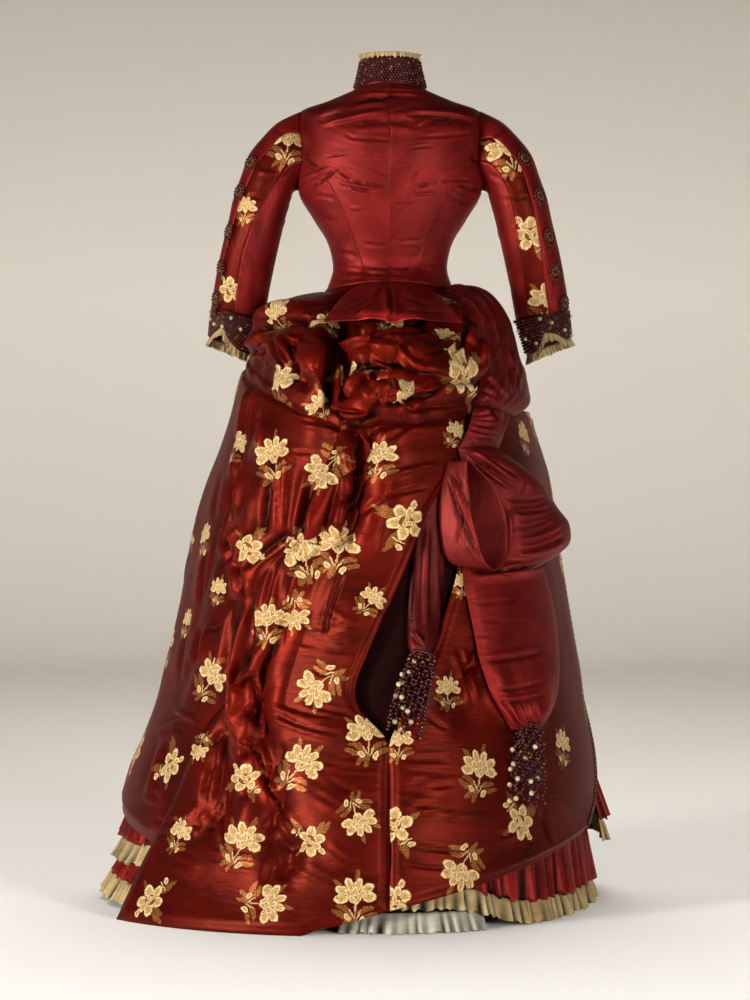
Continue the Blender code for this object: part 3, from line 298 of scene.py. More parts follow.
def rows_below(first, across, ring):
    """All rows of a grid from its first row: the cells' diagonals run down and towards the row's end."""
    rows, seen = [first], set(first)
    while True:
        row = rows[-1]
        pairs = list(zip(row, row[1:])) + ([(row[-1], row[0])] if ring else [])
        below = [[p for p in across.get(frozenset(pair), []) if p not in seen] for pair in pairs]
        if any(len(new) != 1 for new in below):
            return rows
        below = [new[0] for new in below]
        if ring:
            below = [below[-1]] + below[:-1]
        else:
            start = [p for p in across[frozenset((row[0], below[0]))] if p not in seen and p != below[0]]
            below = start + below
        rows.append(below)
        seen.update(below)


# %% [markdown]
# The walk needs a first row. In a tube, such as a sleeve or the collar, that is the upper of its two rims.
# In an open piece it is the level edge at its highest corner, or the edge with the fewest points where no
# edge is level.

# %% The grid of a wall
LEVEL_ROW = 0.5


def rim_loops(beside):
    """The closed rims of a tube, as paths of points."""
    loops, left = [], set(beside)
    while left:
        start = next(iter(left))
        loop = [start, beside[start][0]]
        while True:
            step = [p for p in beside[loop[-1]] if p != loop[-2]][0]
            if step == start:
                break
            loop.append(step)
        loops.append(loop)
        left -= set(loop)
    return loops


def ring_rows(points, across, beside):
    """A tube's rows, walked the way round that keeps them close to upright."""
    first = max(rim_loops(beside), key=lambda loop: points[loop][:, 2].mean())
    found = [rows_below(way, across, True) for way in (first, first[::-1])]
    return min(found, key=lambda way: np.linalg.norm(points[way[0]] - points[way[1]], axis=1).sum())


def path_from(start, step, beside, corners):
    """The rim from one point by the next, as far as a corner."""
    path = [start, step]
    while path[-1] not in corners:
        path.append([p for p in beside[path[-1]] if p != path[-2]][0])
    return path


def open_rows(points, across, beside, used, tips):
    """An open piece's rows. A tip is a corner with one triangle, and the other corners have two."""
    tip = max(tips, key=lambda p: points[p][2])
    ends = {p for p in beside if used[p] == 2} | set(tips)
    paths = [path_from(tip, step, beside, ends - {tip}) for step in beside[tip]]

    def steepness(path):
        length = np.linalg.norm(np.diff(points[path], axis=0), axis=1).sum()
        return abs(points[path[-1]][2] - points[path[0]][2]) / length

    level = min(map(steepness, paths)) < LEVEL_ROW
    first = min(paths, key=steepness if level else len)[::-1]
    return rows_below(first, across, False)


def grid_of(node):
    """The outer side of a wall as rows of points from the top down, and True if the rows are closed rings."""
    points, triangles = merged(node)
    side = outer_side(points, triangles)
    across = opposite_points(side)
    beside = rim_paths(across)
    used = np.bincount(side.ravel(), minlength=len(points))
    tips = [p for p in beside if used[p] == 1]
    ring = not tips
    rows = ring_rows(points, across, beside) if ring else open_rows(points, across, beside, used, tips)
    grid = points[np.array(rows)]
    size = (len(rows) - 1) * (len(rows[0]) - (not ring)) * 2
    if size != len(side):
        raise ValueError(f"{node}: the grid has {size} triangles, and its side has {len(side)}")
    a, b, c = (points[side[:, corner]] for corner in range(3))
    normals = np.cross(b - a, c - a)
    down, right = grid[1, 1] - grid[0, 1], grid[0, 1] - grid[0, 0]
    near = np.linalg.norm((a + b + c) / 3 - grid[0, 0], axis=1).argmin()
    if np.dot(np.cross(down, right), normals[near]) < 0:
        grid = grid[:, ::-1]
    return grid, ring


grids = {}
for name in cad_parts:
    if not name.startswith(("button_stand", "tassel")):
        grids[name] = grid_of(name)
print("grids", {name: grid.shape[:2] for name, (grid, ring) in grids.items()})


# %% [markdown]
# ## Finer cloth
# A smooth curve through each row and each column of a grid gives as many points as the cloth needs. The
# curve passes through the wall's own points, so the finer cloth keeps the wall's form. Its slopes are
# measured along the cloth, because rows that lie unevenly far apart would otherwise overshoot as a hard
# line.

# %% Finer grids
def finer_rows(grid, steps, ring=False):
    """A grid with steps times as many rows, on smooth curves through the first ones."""
    if ring:
        grid = np.concatenate([grid[-1:], grid, grid[:2]])
    gaps = np.linalg.norm(np.diff(grid, axis=0), axis=-1).mean(axis=1)
    slopes = np.gradient(grid, np.concatenate([[0], np.cumsum(gaps)]), axis=0)
    if ring:
        grid, gaps, slopes = grid[1:-1], gaps[1:-1], slopes[1:-1]
    t = (np.arange(steps) / steps)[None, :, None, None]
    start, end = grid[:-1, None], grid[1:, None]
    gaps = gaps[:, None, None, None]
    leaving, arriving = slopes[:-1, None] * gaps, slopes[1:, None] * gaps
    made = (2 * t**3 - 3 * t**2 + 1) * start + (t**3 - 2 * t**2 + t) * leaving
    made = made + (3 * t**2 - 2 * t**3) * end + (t**3 - t**2) * arriving
    made = made.reshape(-1, *grid.shape[1:])
    return made if ring else np.concatenate([made, grid[-1:]])


def spread(grid, axis):
    """How far apart neighbouring points are along an axis, on average."""
    return np.linalg.norm(np.diff(grid, axis=axis), axis=-1).mean()


def finer(grid, cell, ring=False):
    """A grid whose cells are about as large as asked, in metres, down and across."""
    down = max(1, round(spread(grid, 0) / cell))
    across = max(1, round(spread(grid, 1) / cell))
    grid = finer_rows(grid, down)
    return finer_rows(grid.transpose(1, 0, 2), across, ring).transpose(1, 0, 2)


def outward(grid, ring=False):
    """The direction out of the cloth at each point of a grid."""
    down = np.gradient(grid, axis=0)
    if ring:
        right = np.roll(grid, -1, axis=1) - np.roll(grid, 1, axis=1)
    else:
        right = np.gradient(grid, axis=1)
    normals = np.cross(down, right)
    return normals / np.maximum(np.linalg.norm(normals, axis=-1, keepdims=True), 1e-12)


def facing(grid, ring=False):
    """How squarely each point of a grid faces the camera: 1 is straight at it, and less than 0 is away."""
    to_camera = np.array(CAMERA_AT) - grid
    return (outward(grid, ring) * to_camera).sum(-1) / np.linalg.norm(to_camera, axis=-1)


def run_of(grid, axis):
    """How far along the cloth each point of a grid lies from its first row or column."""
    steps = np.linalg.norm(np.diff(grid, axis=axis), axis=-1)
    start = np.zeros_like(np.take(steps, [0], axis=axis))
    return np.cumsum(np.concatenate([start, steps], axis=axis), axis=axis)


# %% [markdown]
# ## A piece of cloth as a mesh
# The mesh carries a UV map named weave, in metres along and across the cloth, so that threads and woven
# flowers keep their size. The attribute named fold says how far a point lies up on a fold or down in it,
# and the silks read it to paint shade into the folds and light onto the ridges. Solidify gives the
# thickness of lined silk, and the edges stay sharp as cut cloth.

# %% Cloth meshes
FOLD_RANGE = 14 * MM


def smoothstep(x):
    """A soft step from 0 at 0 to 1 at 1."""
    x = np.clip(x, 0, 1)
    return x * x * (3 - 2 * x)


def flat_places(grid):
    """Where each point lies on the flat cloth: metres from its middle column, and up from its top."""
    along = run_of(grid, 1)
    along = along - along[:, grid.shape[1] // 2][:, None]
    return along, -run_of(grid, 0)


def face_corners(values):
    """The four values round each face of a grid, in the order of its corners."""
    parts = [values[:-1, :-1], values[1:, :-1], values[1:, 1:], values[:-1, 1:]]
    return np.stack([part.reshape(-1, *values.shape[2:]) for part in parts], 1)


def cloth_mesh(name, grid, flat, ring, finish, thickness, flowers=None, rise=None):
    """A grid as a piece of cloth. The flat grid, the same cloth without its folds, gives the UV maps."""
    rows, columns = grid.shape[:2]
    index = np.arange(rows * columns).reshape(rows, columns)
    along, up = flat_places(flat)
    if ring:
        index = np.hstack([index, index[:, :1]])
        seam = np.linalg.norm(flat[:, :1] - flat[:, -1:], axis=-1)
        along = np.hstack([along, along[:, -1:] + seam])
        up = np.hstack([up, up[:, :1]])
    mesh = bpy.data.meshes.new(name)
    mesh.from_pydata(grid.reshape(-1, 3).tolist(), [], face_corners(index).tolist())
    places = face_corners(np.stack([along, up], -1))
    mesh.uv_layers.new(name="weave").data.foreach_set("uv", places.ravel())
    if flowers is not None:
        mesh.uv_layers.new(name="sprig").data.foreach_set("uv", flower_places(flat, flowers).ravel())
    fold = np.full(rows * columns, 0.5) if rise is None else np.clip(0.5 + rise.ravel() / FOLD_RANGE, 0, 1)
    mesh.attributes.new("fold", "FLOAT", "POINT").data.foreach_set("value", fold.astype(np.float32))
    mesh.materials.append(finish)
    mesh.shade_smooth()
    piece = bpy.data.objects.new(name, mesh)
    bpy.context.scene.collection.objects.link(piece)
    wall = piece.modifiers.new("thickness", "SOLIDIFY")
    wall.thickness = thickness
    wall.offset = -1
    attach(piece, "root")
    return piece


def cut_size(grid, ring):
    """The flat cut of a piece: its widest row, its middle column's length, and its area."""
    across, down = run_of(grid, 1)[:, -1], run_of(grid, 0)[-1]
    width = across.max()
    if ring:
        width += np.linalg.norm(grid[:, 0] - grid[:, -1], axis=-1).max()
    sides = np.cross(grid[1:, :-1] - grid[:-1, :-1], grid[:-1, 1:] - grid[:-1, :-1])
    area = np.linalg.norm(sides, axis=-1).sum()
    return float(width), float(down.max()), float(area)


# %% [markdown]
# ## Silk satin
# Silk satin floats its warp over the weft, so it has a soft broad gloss with no visible threads. Slubs in
# the weft give faint level streaks, and light catches every small pucker. Thread spacing of 0.2 mm is too
# fine to show at this distance, so the streaks are drawn a millimetre apart and up to forty long.

# %% A silk ground
SLUB_MM, CLOUD_MM, PUCKER_MM = (1.4, 40), (60, 90), (7, 34)
TONE_FROM, TONE_TO = 0.35, 0.65
PUCKER_DETAIL, PUCKER_HEIGHT = 2.0, 3.0
# Painted shade and light: colour multipliers from the bottom of a fold to the top of a ridge.
PAINTED_FOLD_SHADE = [(0.0, "1C1C1C"), (0.5, "D0D0D0"), (1.0, "FFFFFF")]


def streaks(tree, uv_map, across_mm, along_mm, detail=3.0):
    """Noise drawn out along the weft: a value round a half."""
    place = add(tree, "UVMap", {"uv_map": uv_map})
    drawn = add(tree, "Mapping", {}, {"Vector": place, "Scale": (1000 / along_mm, 1000 / across_mm, 1)})
    return add(tree, "TexNoise", {}, {"Vector": drawn, "Scale": 1.0, "Detail": detail, "Roughness": 0.6})


def set_stops(ramp, stops):
    """Gives a colour ramp its colours, each at its place from 0 to 1."""
    elements = ramp.color_ramp.elements
    while len(elements) < len(stops):
        elements.new(0.5)
    for element, (position, colour) in zip(elements, stops):
        element.position = position
        element.color = linear(colour)


def silk_ground(tree, dark, light):
    """Colour and height of a silk ground: weft slubs, puckers, painted shade in folds and light on ridges."""
    slub = streaks(tree, "weave", *SLUB_MM)
    cloud = streaks(tree, "weave", *CLOUD_MM)
    pucker = streaks(tree, "weave", *PUCKER_MM, PUCKER_DETAIL)
    half = add(tree, "Math", {"operation": "MULTIPLY"}, {0: slub, 1: 0.5})
    tone = add(tree, "Math", {"operation": "MULTIPLY_ADD"}, {0: cloud, 1: 0.5, 2: half})
    contrast = add(tree, "MapRange", {}, {"Value": tone, "From Min": TONE_FROM, "From Max": TONE_TO})
    colour = add(tree, "Mix", RGBA, {0: contrast, 6: linear(dark), 7: linear(light)})
    # Painted shade: the fold attribute darkens the colour in folds and lightens it on ridges.
    fold = add(tree, "Attribute", {"attribute_name": "fold"})
    ramp = add(tree, "ValToRGB", {}, {"Fac": fold.outputs["Fac"]})
    set_stops(ramp, PAINTED_FOLD_SHADE)
    shaded = {0: 1.0, 6: colour.outputs[2], 7: ramp}
    shaded = add(tree, "Mix", {**RGBA, "blend_type": "MULTIPLY"}, shaded)
    height = add(tree, "Math", {"operation": "MULTIPLY_ADD"}, {0: pucker, 1: PUCKER_HEIGHT, 2: slub})
    return shaded.outputs[2], height


# %% [markdown]
# Silk reflects with some of its dye's colour, which a part metallic shader gives. The sash is the same
# satin in a deeper wine, and the underskirt's satin is seen only in the shade under the drape, so it is
# almost black. The frills are a looser silk and the lace is cotton: both scatter the light and have no
# tinted gloss.

# %% Satins, frill silk and lace
SILK_GLOSS = 0.36
SILK_SPECULAR, DULL_SPECULAR = 0.5, 0.2
RELIEF, RELIEF_DEPTH = 0.5, 0.0004


def silk_shader(tree, colour, roughness, height, tint, gloss=SILK_GLOSS):
    """Silk takes some of its dye's colour into its gloss."""
    bump = add(tree, "Bump", {}, {"Height": height, "Strength": RELIEF, "Distance": RELIEF_DEPTH})
    shader = add(tree, "BsdfPrincipled", {}, {"Base Color": colour, "Roughness": roughness, "Normal": bump})
    shader.inputs["Specular IOR Level"].default_value = SILK_SPECULAR if gloss else DULL_SPECULAR
    shader.inputs["Metallic"].default_value = gloss
    shader.inputs["Specular Tint"].default_value = linear(tint)
    return shader


def silk_satin(name, dark, light, roughness, tint, gloss=SILK_GLOSS):
    """A plain silk between two tones of its dye."""
    made, tree = new_material(name)
    colour, height = silk_ground(tree, dark, light)
    return finish_material(made, tree, silk_shader(tree, colour, roughness, height, tint, gloss))


RED_GLOSS, WHITE_GLOSS = "F08A80", "FFFFFF"
SATIN = silk_satin("woven_silk_satin", "5A0A0C", "A0241F", 0.46, RED_GLOSS)
WINE = silk_satin("sash_satin", "4E0A0C", "8C2420", 0.46, RED_GLOSS, 0.3)
SHADED = silk_satin("underskirt_satin", "080101", "160304", 0.7, RED_GLOSS, 0.0)
BEADED = silk_satin("beaded_satin", "2A0608", "4A0C0E", 0.4, RED_GLOSS, 0.2)
CREAM = silk_satin("gathered_cream_silk", "A88654", "DCC48E", 0.7, WHITE_GLOSS, 0.0)
LACE = silk_satin("cotton_lace", "A69C88", "E2DAC6", 0.85, WHITE_GLOSS, 0.0)
print("silks", [silk.name for silk in (SATIN, WINE, SHADED, BEADED, CREAM, LACE)])

# %% [markdown]
# ## Brocaded flowers
# Cream and bronze silk is carried only where a flower is woven, so each flower lies on the red like a small
# patch, a little raised. The loom repeats a few flowers over and over, here two: a bloom seen from the side
# and an open one. Each shape is an oval from a table in millimetres, later ones over earlier ones, and the
# second flower is drawn one metre to the right on the map. The UV map named sprig gives the place round the
# flower that a point of the cloth belongs to.

# %% Flowers as tables
Oval = namedtuple("Oval", "x y turn long wide tone", defaults=[0.0])
OPEN_AT = 1000


def rows_of(kind, table):
    """A table's rows, with a name for each column."""
    return [kind(*row) for row in table]


SIDE_BLOOM = rows_of(Oval, [
    (2, -27, 6, 12, 1.3), (8, -41, 26, 10, 1.2), (-6, -38, -34, 9, 1.1), (15, -51, 28, 7.5, 4.4),
    (-15, -46, -48, 7, 4.2), (-27, -7, -104, 12, 8.5), (-26, 10, -64, 12, 7.5), (-11, 23, -22, 12, 6.5),
    (7, 24, 12, 11, 6.5), (24, 14, 50, 13, 8), (29, -3, 88, 12, 8), (-12, 4, -40, 10, 5.5),
    (1, 9, 2, 10, 5.2), (13, 2, 46, 10, 5.5), (-5, -9, -28, 8.5, 4.4), (6, -10, 32, 8.5, 4.4),
])
OPEN_BLOOM = rows_of(Oval, [
    (24, -33, 60, 12, 1.3), (36, -39, 80, 7, 4.4), (-23, 32, -38, 8, 5), (2, 23, 6, 12, 10),
    (23, 7, 68, 13, 9.5), (15, -17, 136, 12, 9), (-10, -20, -156, 12, 9.5), (-24, 1, -90, 12, 9),
    (-13, 16, -44, 10, 6.5), (0, 0, 30, 11, 9, 0.95), (-5, 5, -40, 6.5, 3.8), (6, 4, 38, 6.5, 3.8),
    (2, -6, 150, 6, 4),
])
SIDE_LEAVES = rows_of(Oval, [
    (-31, -40, -62, 13, 3.8), (30, -42, 70, 13, 3.8), (-16, -55, -140, 12, 3.8), (-20, -31, -58, 12, 3.6),
    (-26, -25, -85, 9, 3), (20, -31, 62, 12, 3.6), (27, -27, 86, 9, 3), (-4, -58, -165, 12, 3.8),
    (-34, 25, -48, 9, 3.2), (5, 41, 6, 10, 3.4),
])
OPEN_LEAVES = rows_of(Oval, [
    (-46, -24, -118, 12, 3.8), (24, -52, 168, 12, 3.8), (-37, -14, -105, 12, 3.6),
    (-33, -26, -130, 12, 3.6), (14, -42, 160, 12, 3.6), (38, 18, 66, 11, 3.4),
])
print("ovals", sum(map(len, (SIDE_BLOOM, OPEN_BLOOM, SIDE_LEAVES, OPEN_LEAVES))))

# %% [markdown]
# The brocade's ground is the satin's, in a darker red. A leaf is bronze silk in short strokes that let the
# red through. A bloom is shaded by the distance from each oval's middle: brownish gold at the heart, cream
# towards the edge, and a dark line round it. Where the silk is brocaded it is rougher and loses the red
# gloss.

# %% Brocade
OVERLAP, LEAF_OVERLAP = 1.06, 1.1
CROWDED = 0.75
EDGE = {"From Min": 0.97, "From Max": 1.03, "To Min": 1.0, "To Max": 0.0}
WANDER, WANDER_MM = 0.005, (5, 6)
PAINTED = {"From Min": 1.2, "From Max": 1.5, "To Min": 1.0, "To Max": 0.0}
BRONZE, BRONZE_STROKE = "8C5C30", "8C5A24"
FEATHER_MM, FEATHER = (1.5, 3.4), {"From Min": 0.36, "From Max": 0.56, "To Min": 0.1, "To Max": 0.95}
STROKE_MM, STROKE = (7, 2.4), {"From Min": 0.53, "From Max": 0.61, "To Min": 0.0, "To Max": 0.85}
BLOOM_SHADES = [
    (0.0, "A88450"), (0.45, "B8965E"), (0.72, "DCC896"), (0.86, "D2BA84"), (0.93, "6E4119"), (1.0, "2C0C05"),
]
BROCADE_ROUGH, BLOOM_ROUGH = 0.42, 0.6


def painted(tree, place, ovals, shift=0, under=2.0, overlap=OVERLAP):
    """The topmost oval's own distance from its middle, which is 1 at its edge, and 2 where there is none."""
    for oval in ovals:
        settings = {
            "Vector": place,
            "Location": ((oval.x * CROWDED + shift) * MM, oval.y * CROWDED * MM, 0),
            "Rotation": (0, 0, -math.radians(oval.turn)),
            "Scale": (oval.wide * overlap * MM, oval.long * overlap * MM, 1),
        }
        turned = add(tree, "Mapping", {"vector_type": "TEXTURE"}, settings)
        away = add(tree, "VectorMath", {"operation": "LENGTH"}, {0: turned}).outputs["Value"]
        inside = add(tree, "MapRange", {}, {"Value": away, **EDGE})
        if oval.tone:
            away = add(tree, "Math", {"operation": "MAXIMUM"}, {0: away, 1: oval.tone})
        under = add(tree, "Mix", {"data_type": "FLOAT"}, {0: inside, 2: under, 3: away})
    return under


def wandering(tree):
    """The place on the map named sprig, moved a little by noise so that no edge is a perfect curve."""
    noise = streaks(tree, "weave", *WANDER_MM, 1.0).outputs["Color"]
    moved = add(tree, "VectorMath", {"operation": "SUBTRACT"}, {0: noise, 1: (0.5, 0.5, 0.5)})
    flower = add(tree, "UVMap", {"uv_map": "sprig"})
    moved = {0: moved, 1: (WANDER, WANDER, 0), 2: flower}
    return add(tree, "VectorMath", {"operation": "MULTIPLY_ADD"}, moved)


def silk_brocade(name, dark, light, tint):
    """The same ground with leaves and blooms laid over it, and their own colour, roughness and gloss."""
    made, tree = new_material(name)
    colour, height = silk_ground(tree, dark, light)
    place = wandering(tree)
    leaf = painted(tree, place, SIDE_LEAVES, 0, 2.0, LEAF_OVERLAP)
    leaf = painted(tree, place, OPEN_LEAVES, OPEN_AT, leaf, LEAF_OVERLAP)
    bloom = painted(tree, place, SIDE_BLOOM)
    bloom = painted(tree, place, OPEN_BLOOM, OPEN_AT, bloom)
    leaf_there = add(tree, "MapRange", {}, {"Value": leaf, **PAINTED})
    bloom_there = add(tree, "MapRange", {}, {"Value": bloom, **PAINTED})
    feather = add(tree, "MapRange", {}, {"Value": streaks(tree, "weave", *FEATHER_MM, 1.0), **FEATHER})
    leaf_silk = add(tree, "Math", {"operation": "MULTIPLY"}, {0: leaf_there, 1: feather})
    colour = add(tree, "Mix", RGBA, {0: leaf_silk, 6: colour, 7: linear(BRONZE)}).outputs[2]
    ramp = add(tree, "ValToRGB", {}, {"Fac": bloom})
    set_stops(ramp, BLOOM_SHADES)
    stroke = add(tree, "MapRange", {}, {"Value": streaks(tree, "sprig", *STROKE_MM, 2.0), **STROKE})
    petal = add(tree, "Mix", RGBA, {0: stroke, 6: ramp, 7: linear(BRONZE_STROKE)}).outputs[2]
    colour = add(tree, "Mix", RGBA, {0: bloom_there, 6: colour, 7: petal}).outputs[2]
    rougher = {"Value": bloom_there, "To Min": BROCADE_ROUGH, "To Max": BLOOM_ROUGH}
    duller = {"Value": bloom_there, "To Min": SILK_GLOSS, "To Max": 0.0}
    shader = silk_shader(tree, colour, add(tree, "MapRange", {}, rougher), height, tint)
    tree.links.new(add(tree, "MapRange", {}, duller).outputs[0], shader.inputs["Metallic"])
    return finish_material(made, tree, shader)


BROCADE = silk_brocade("brocaded_silk", "3C0503", "74130A", "F07858")
print("brocade", len(BROCADE.node_tree.nodes), "nodes")

# %% [markdown]
# ## Where the flowers lie
# The seen flowers are placed by the photograph: pixels across and down, and the way that the bloom leans in
# degrees clockwise. On the sides that it doesn't show, the weaver's half-drop repeat goes on.

# %% Places of the flowers
Sprig = namedtuple("Sprig", "x y turn size kind", defaults=[1.0, "side"])
SPRIGS = rows_of(Sprig, [
    (276, 313, -20, 0.75), (331, 322, 20, 0.65), (276, 380, 5, 0.85), (320, 402, -30, 0.5),
    (351, 378, 10, 0.85, "open"), (396, 324, 90, 0.6), (445, 335, -20, 0.6), (464, 374, 5, 1, "open"),
    (408, 392, 150, 0.6), (238, 445, 15, 0.75), (275, 456, -12), (322, 472, -135), (378, 456, 0, 0.8),
    (456, 432, 35, 0.6), (524, 433, 20, 0.75), (406, 523, 60, 1, "open"), (338, 545, 10), (299, 552, -20),
    (248, 549, 150, 0.85, "open"), (205, 537, -10, 0.75), (219, 588, 10, 0.6), (187, 621, 5, 0.65),
    (212, 676, 35), (266, 618, 0, 0.85), (294, 618, 175, 0.8), (374, 598, 40, 0.65), (315, 689, -130),
    (366, 733, -4), (302, 764, 40), (170, 766, 100, 1, "open"), (198, 750, 190, 0.6),
    (246, 777, 0, 0.75, "open"), (180, 834, 15, 0.75), (243, 841, 20), (310, 842, 160, 0.85, "open"),
    (358, 821, 160, 0.85), (396, 827, 0, 1, "open"), (152, 899, -110, 1, "open"), (270, 904, 90),
    (354, 895, 0), (394, 901, 60, 1, "open"), (447, 688, 10, 0.7), (399, 740, 0, 0.7), (478, 767, 15),
    (564, 745, 20, 0.8), (521, 822, 180, 1, "open"), (461, 872, -150), (461, 583, 0, 0.5),
    (579, 640, 10, 0.7), (288, 138, 10), (245, 208, 5, 0.6), (229, 292, 0, 0.8, "open"), (508, 148, -10),
    (530, 233, -5, 1, "open"), (549, 300, 0),
])
SPRIG_REACH = 4
FLOWER_FACES, SIDE_FACES = 0.05, -0.2
FAR_AWAY = 1000
REPEAT_ACROSS, REPEAT_DOWN = 104 * MM, 122 * MM
CLEAR_OF_OTHERS = 78 * MM
SEEN_FROM = 0.12
MOST_LEAN = 35
print("sprigs", len(SPRIGS))


def pixel_gaps(pixels, hidden, x, y):
    """How many pixels each point shows from a place in the photograph. A hidden point counts as far away."""
    return np.hypot(pixels[..., 0] - x, pixels[..., 1] - y) + np.where(hidden, FAR_AWAY, 0)


def flower_at(flat, i, j, turn, is_open, size=1.0):
    """A flower's middle on the smooth cloth, its own right and up for its size, and which flower it is."""
    normal = outward(flat)[i, j]
    upright = np.array([0, 0, 1]) - normal * normal[2]
    upright = upright / np.linalg.norm(upright)
    level = np.cross(upright, normal)
    cos, sin = math.cos(math.radians(turn)), math.sin(math.radians(turn))
    return flat[i, j], (level * cos - upright * sin) / size, (upright * cos + level * sin) / size, is_open


def seen_flowers(grid, flat):
    """The photograph's flowers on a grid."""
    pixels = photo_pixels(grid)
    hidden = facing(grid) <= FLOWER_FACES
    found = []
    for sprig in SPRIGS:
        gap = pixel_gaps(pixels, hidden, sprig.x, sprig.y)
        i, j = np.unravel_index(gap.argmin(), gap.shape)
        if gap[i, j] <= SPRIG_REACH and i not in (0, len(grid) - 1):
            found.append(flower_at(flat, i, j, sprig.turn, sprig.kind == "open", sprig.size))
    return found


def all_flowers(grid, flat):
    """The seen flowers, and the repeat of the weave wherever none of them is near."""
    along, up = flat_places(flat)
    found = seen_flowers(grid, flat)
    seen = facing(flat) > SEEN_FROM
    step = 0
    for v in np.arange(up.min() + REPEAT_DOWN / 3, up.max(), REPEAT_DOWN / 2):
        step += 1
        first = along.min() + REPEAT_ACROSS * (0.25 + 0.5 * (step % 2))
        for u in np.arange(first, along.max(), REPEAT_ACROSS):
            i, j = np.unravel_index(np.hypot(along - u, up - v).argmin(), along.shape)
            clear = all(np.linalg.norm(flat[i, j] - flower[0]) > CLEAR_OF_OTHERS for flower in found)
            if clear and not seen[i, j]:
                lean = MOST_LEAN * math.sin(step * 2.3 + u * 40)
                is_open = (step + int(u * 90)) % 3 == 0
                found.append(flower_at(flat, i, j, lean, is_open))
    return found


def flower_places(flat, flowers):
    """Each face corner's place round its nearest flower, in metres, level with the cloth there."""
    corners = face_corners(flat)
    middles = np.array([flower[0] for flower in flowers])
    gap = np.linalg.norm(corners.mean(axis=1)[:, None] - middles, axis=-1)
    nearest = gap.argmin(axis=1)
    offset = corners - middles[nearest][:, None]
    right = np.array([flower[1] for flower in flowers])[nearest][:, None]
    upward = np.array([flower[2] for flower in flowers])[nearest][:, None]
    shift = np.array([flower[3] for flower in flowers])[nearest][:, None] * OPEN_AT * MM
    return np.stack([(offset * right).sum(-1) + shift, (offset * upward).sum(-1)], -1)


# %% [markdown]
# ## Creases
# Heavy silk breaks into long soft folds where it is drawn up, and into short level wrinkles where it is
# stretched. Those of the photograph are placed by its pixels: a line from one point to another that bows to
# one side, how wide it is, and how far the cloth rises or, below nothing, sinks in millimetres. Heavy
# draped cloth folds deeper than a bodice that is cut to the body, so each table has a strength of its own.

# %% Creases that the photograph shows
Crease = namedtuple("Crease", "x1 y1 x2 y2 bow width rise")
BODICE_CREASES = [
    (318, 126, 407, 112, -3, 2.4, 3.5), (314, 117, 391, 103, -3, 2.2, 3), (352, 97, 428, 96, -3, 2, 2.5),
    (376, 89, 429, 92, -1, 1.5, 2), (394, 114, 484, 123, -6, 2, 3), (336, 112, 391, 100, -2, 2, -2.5),
    (350, 104, 402, 96, -1, 1.8, -2.5), (364, 118, 415, 110, -1, 2, -2.5),
    (350, 124, 420, 124, -2, 4.5, -4), (416, 126, 430, 117, 0, 1.5, 2), (425, 122, 478, 127, -3, 4, -3),
    (346, 133, 356, 141, 0, 1.5, -1.5), (350, 137, 394, 140, 1, 1.8, -1.5),
    (418, 137, 482, 132, 1, 1.8, -1.5), (411, 148, 433, 146, 0, 1.3, -1.2),
    (324, 157, 350, 153, 0, 1.3, -1.3), (303, 156, 317, 168, 0, 1.8, -2.5), (308, 188, 336, 168, 2, 2, -3),
    (300, 180, 330, 166, 1, 1.6, 2), (334, 167, 352, 181, 0, 1.5, -1.8), (350, 180, 392, 187, 1, 1.6, -1.8),
    (338, 184, 378, 192, 1, 1.6, -2), (336, 181, 374, 188, 1, 1.4, 1.3), (312, 195, 337, 199, -1, 1.8, -2),
    (415, 187, 440, 182, 0, 1.6, -2), (439, 182, 474, 181, -1, 1.8, -2.2),
    (410, 195, 441, 193, 0, 1.6, -1.6), (441, 193, 462, 201, -1, 1.8, -2.2),
    (456, 184, 482, 190, 1, 2.4, -3), (443, 196, 472, 204, 1, 1.8, -2), (455, 190, 480, 184, 1, 1.6, 2),
    (416, 168, 411, 186, 0, 2, -1.2), (471, 153, 484, 171, 1, 3, -2.5), (391, 203, 417, 204, 1, 1.6, -1.2),
    (427, 222, 451, 219, 1, 2, -1.4), (361, 243, 388, 245, 1, 1.8, -1.6),
    (396, 241, 424, 240, 0, 1.5, -1.1), (335, 250, 359, 255, 1, 1.8, -1.8),
    (398, 248, 420, 248, 0, 1.3, -1.2), (364, 267, 413, 267, 1, 1.7, -1.8),
    (337, 270, 415, 276, 1, 1.8, -2), (333, 282, 367, 278, 0, 1.6, -1.8),
    (366, 279, 447, 291, -3, 1.8, -1.6), (330, 262, 358, 264, 1, 1.5, -1.3),
    (420, 262, 446, 266, 1, 1.6, -1.5), (322, 215, 340, 222, 1, 2.5, -1.6),
    (452, 236, 470, 228, 0, 2.4, -1.5), (348, 208, 366, 206, 1, 1.6, 1),
]
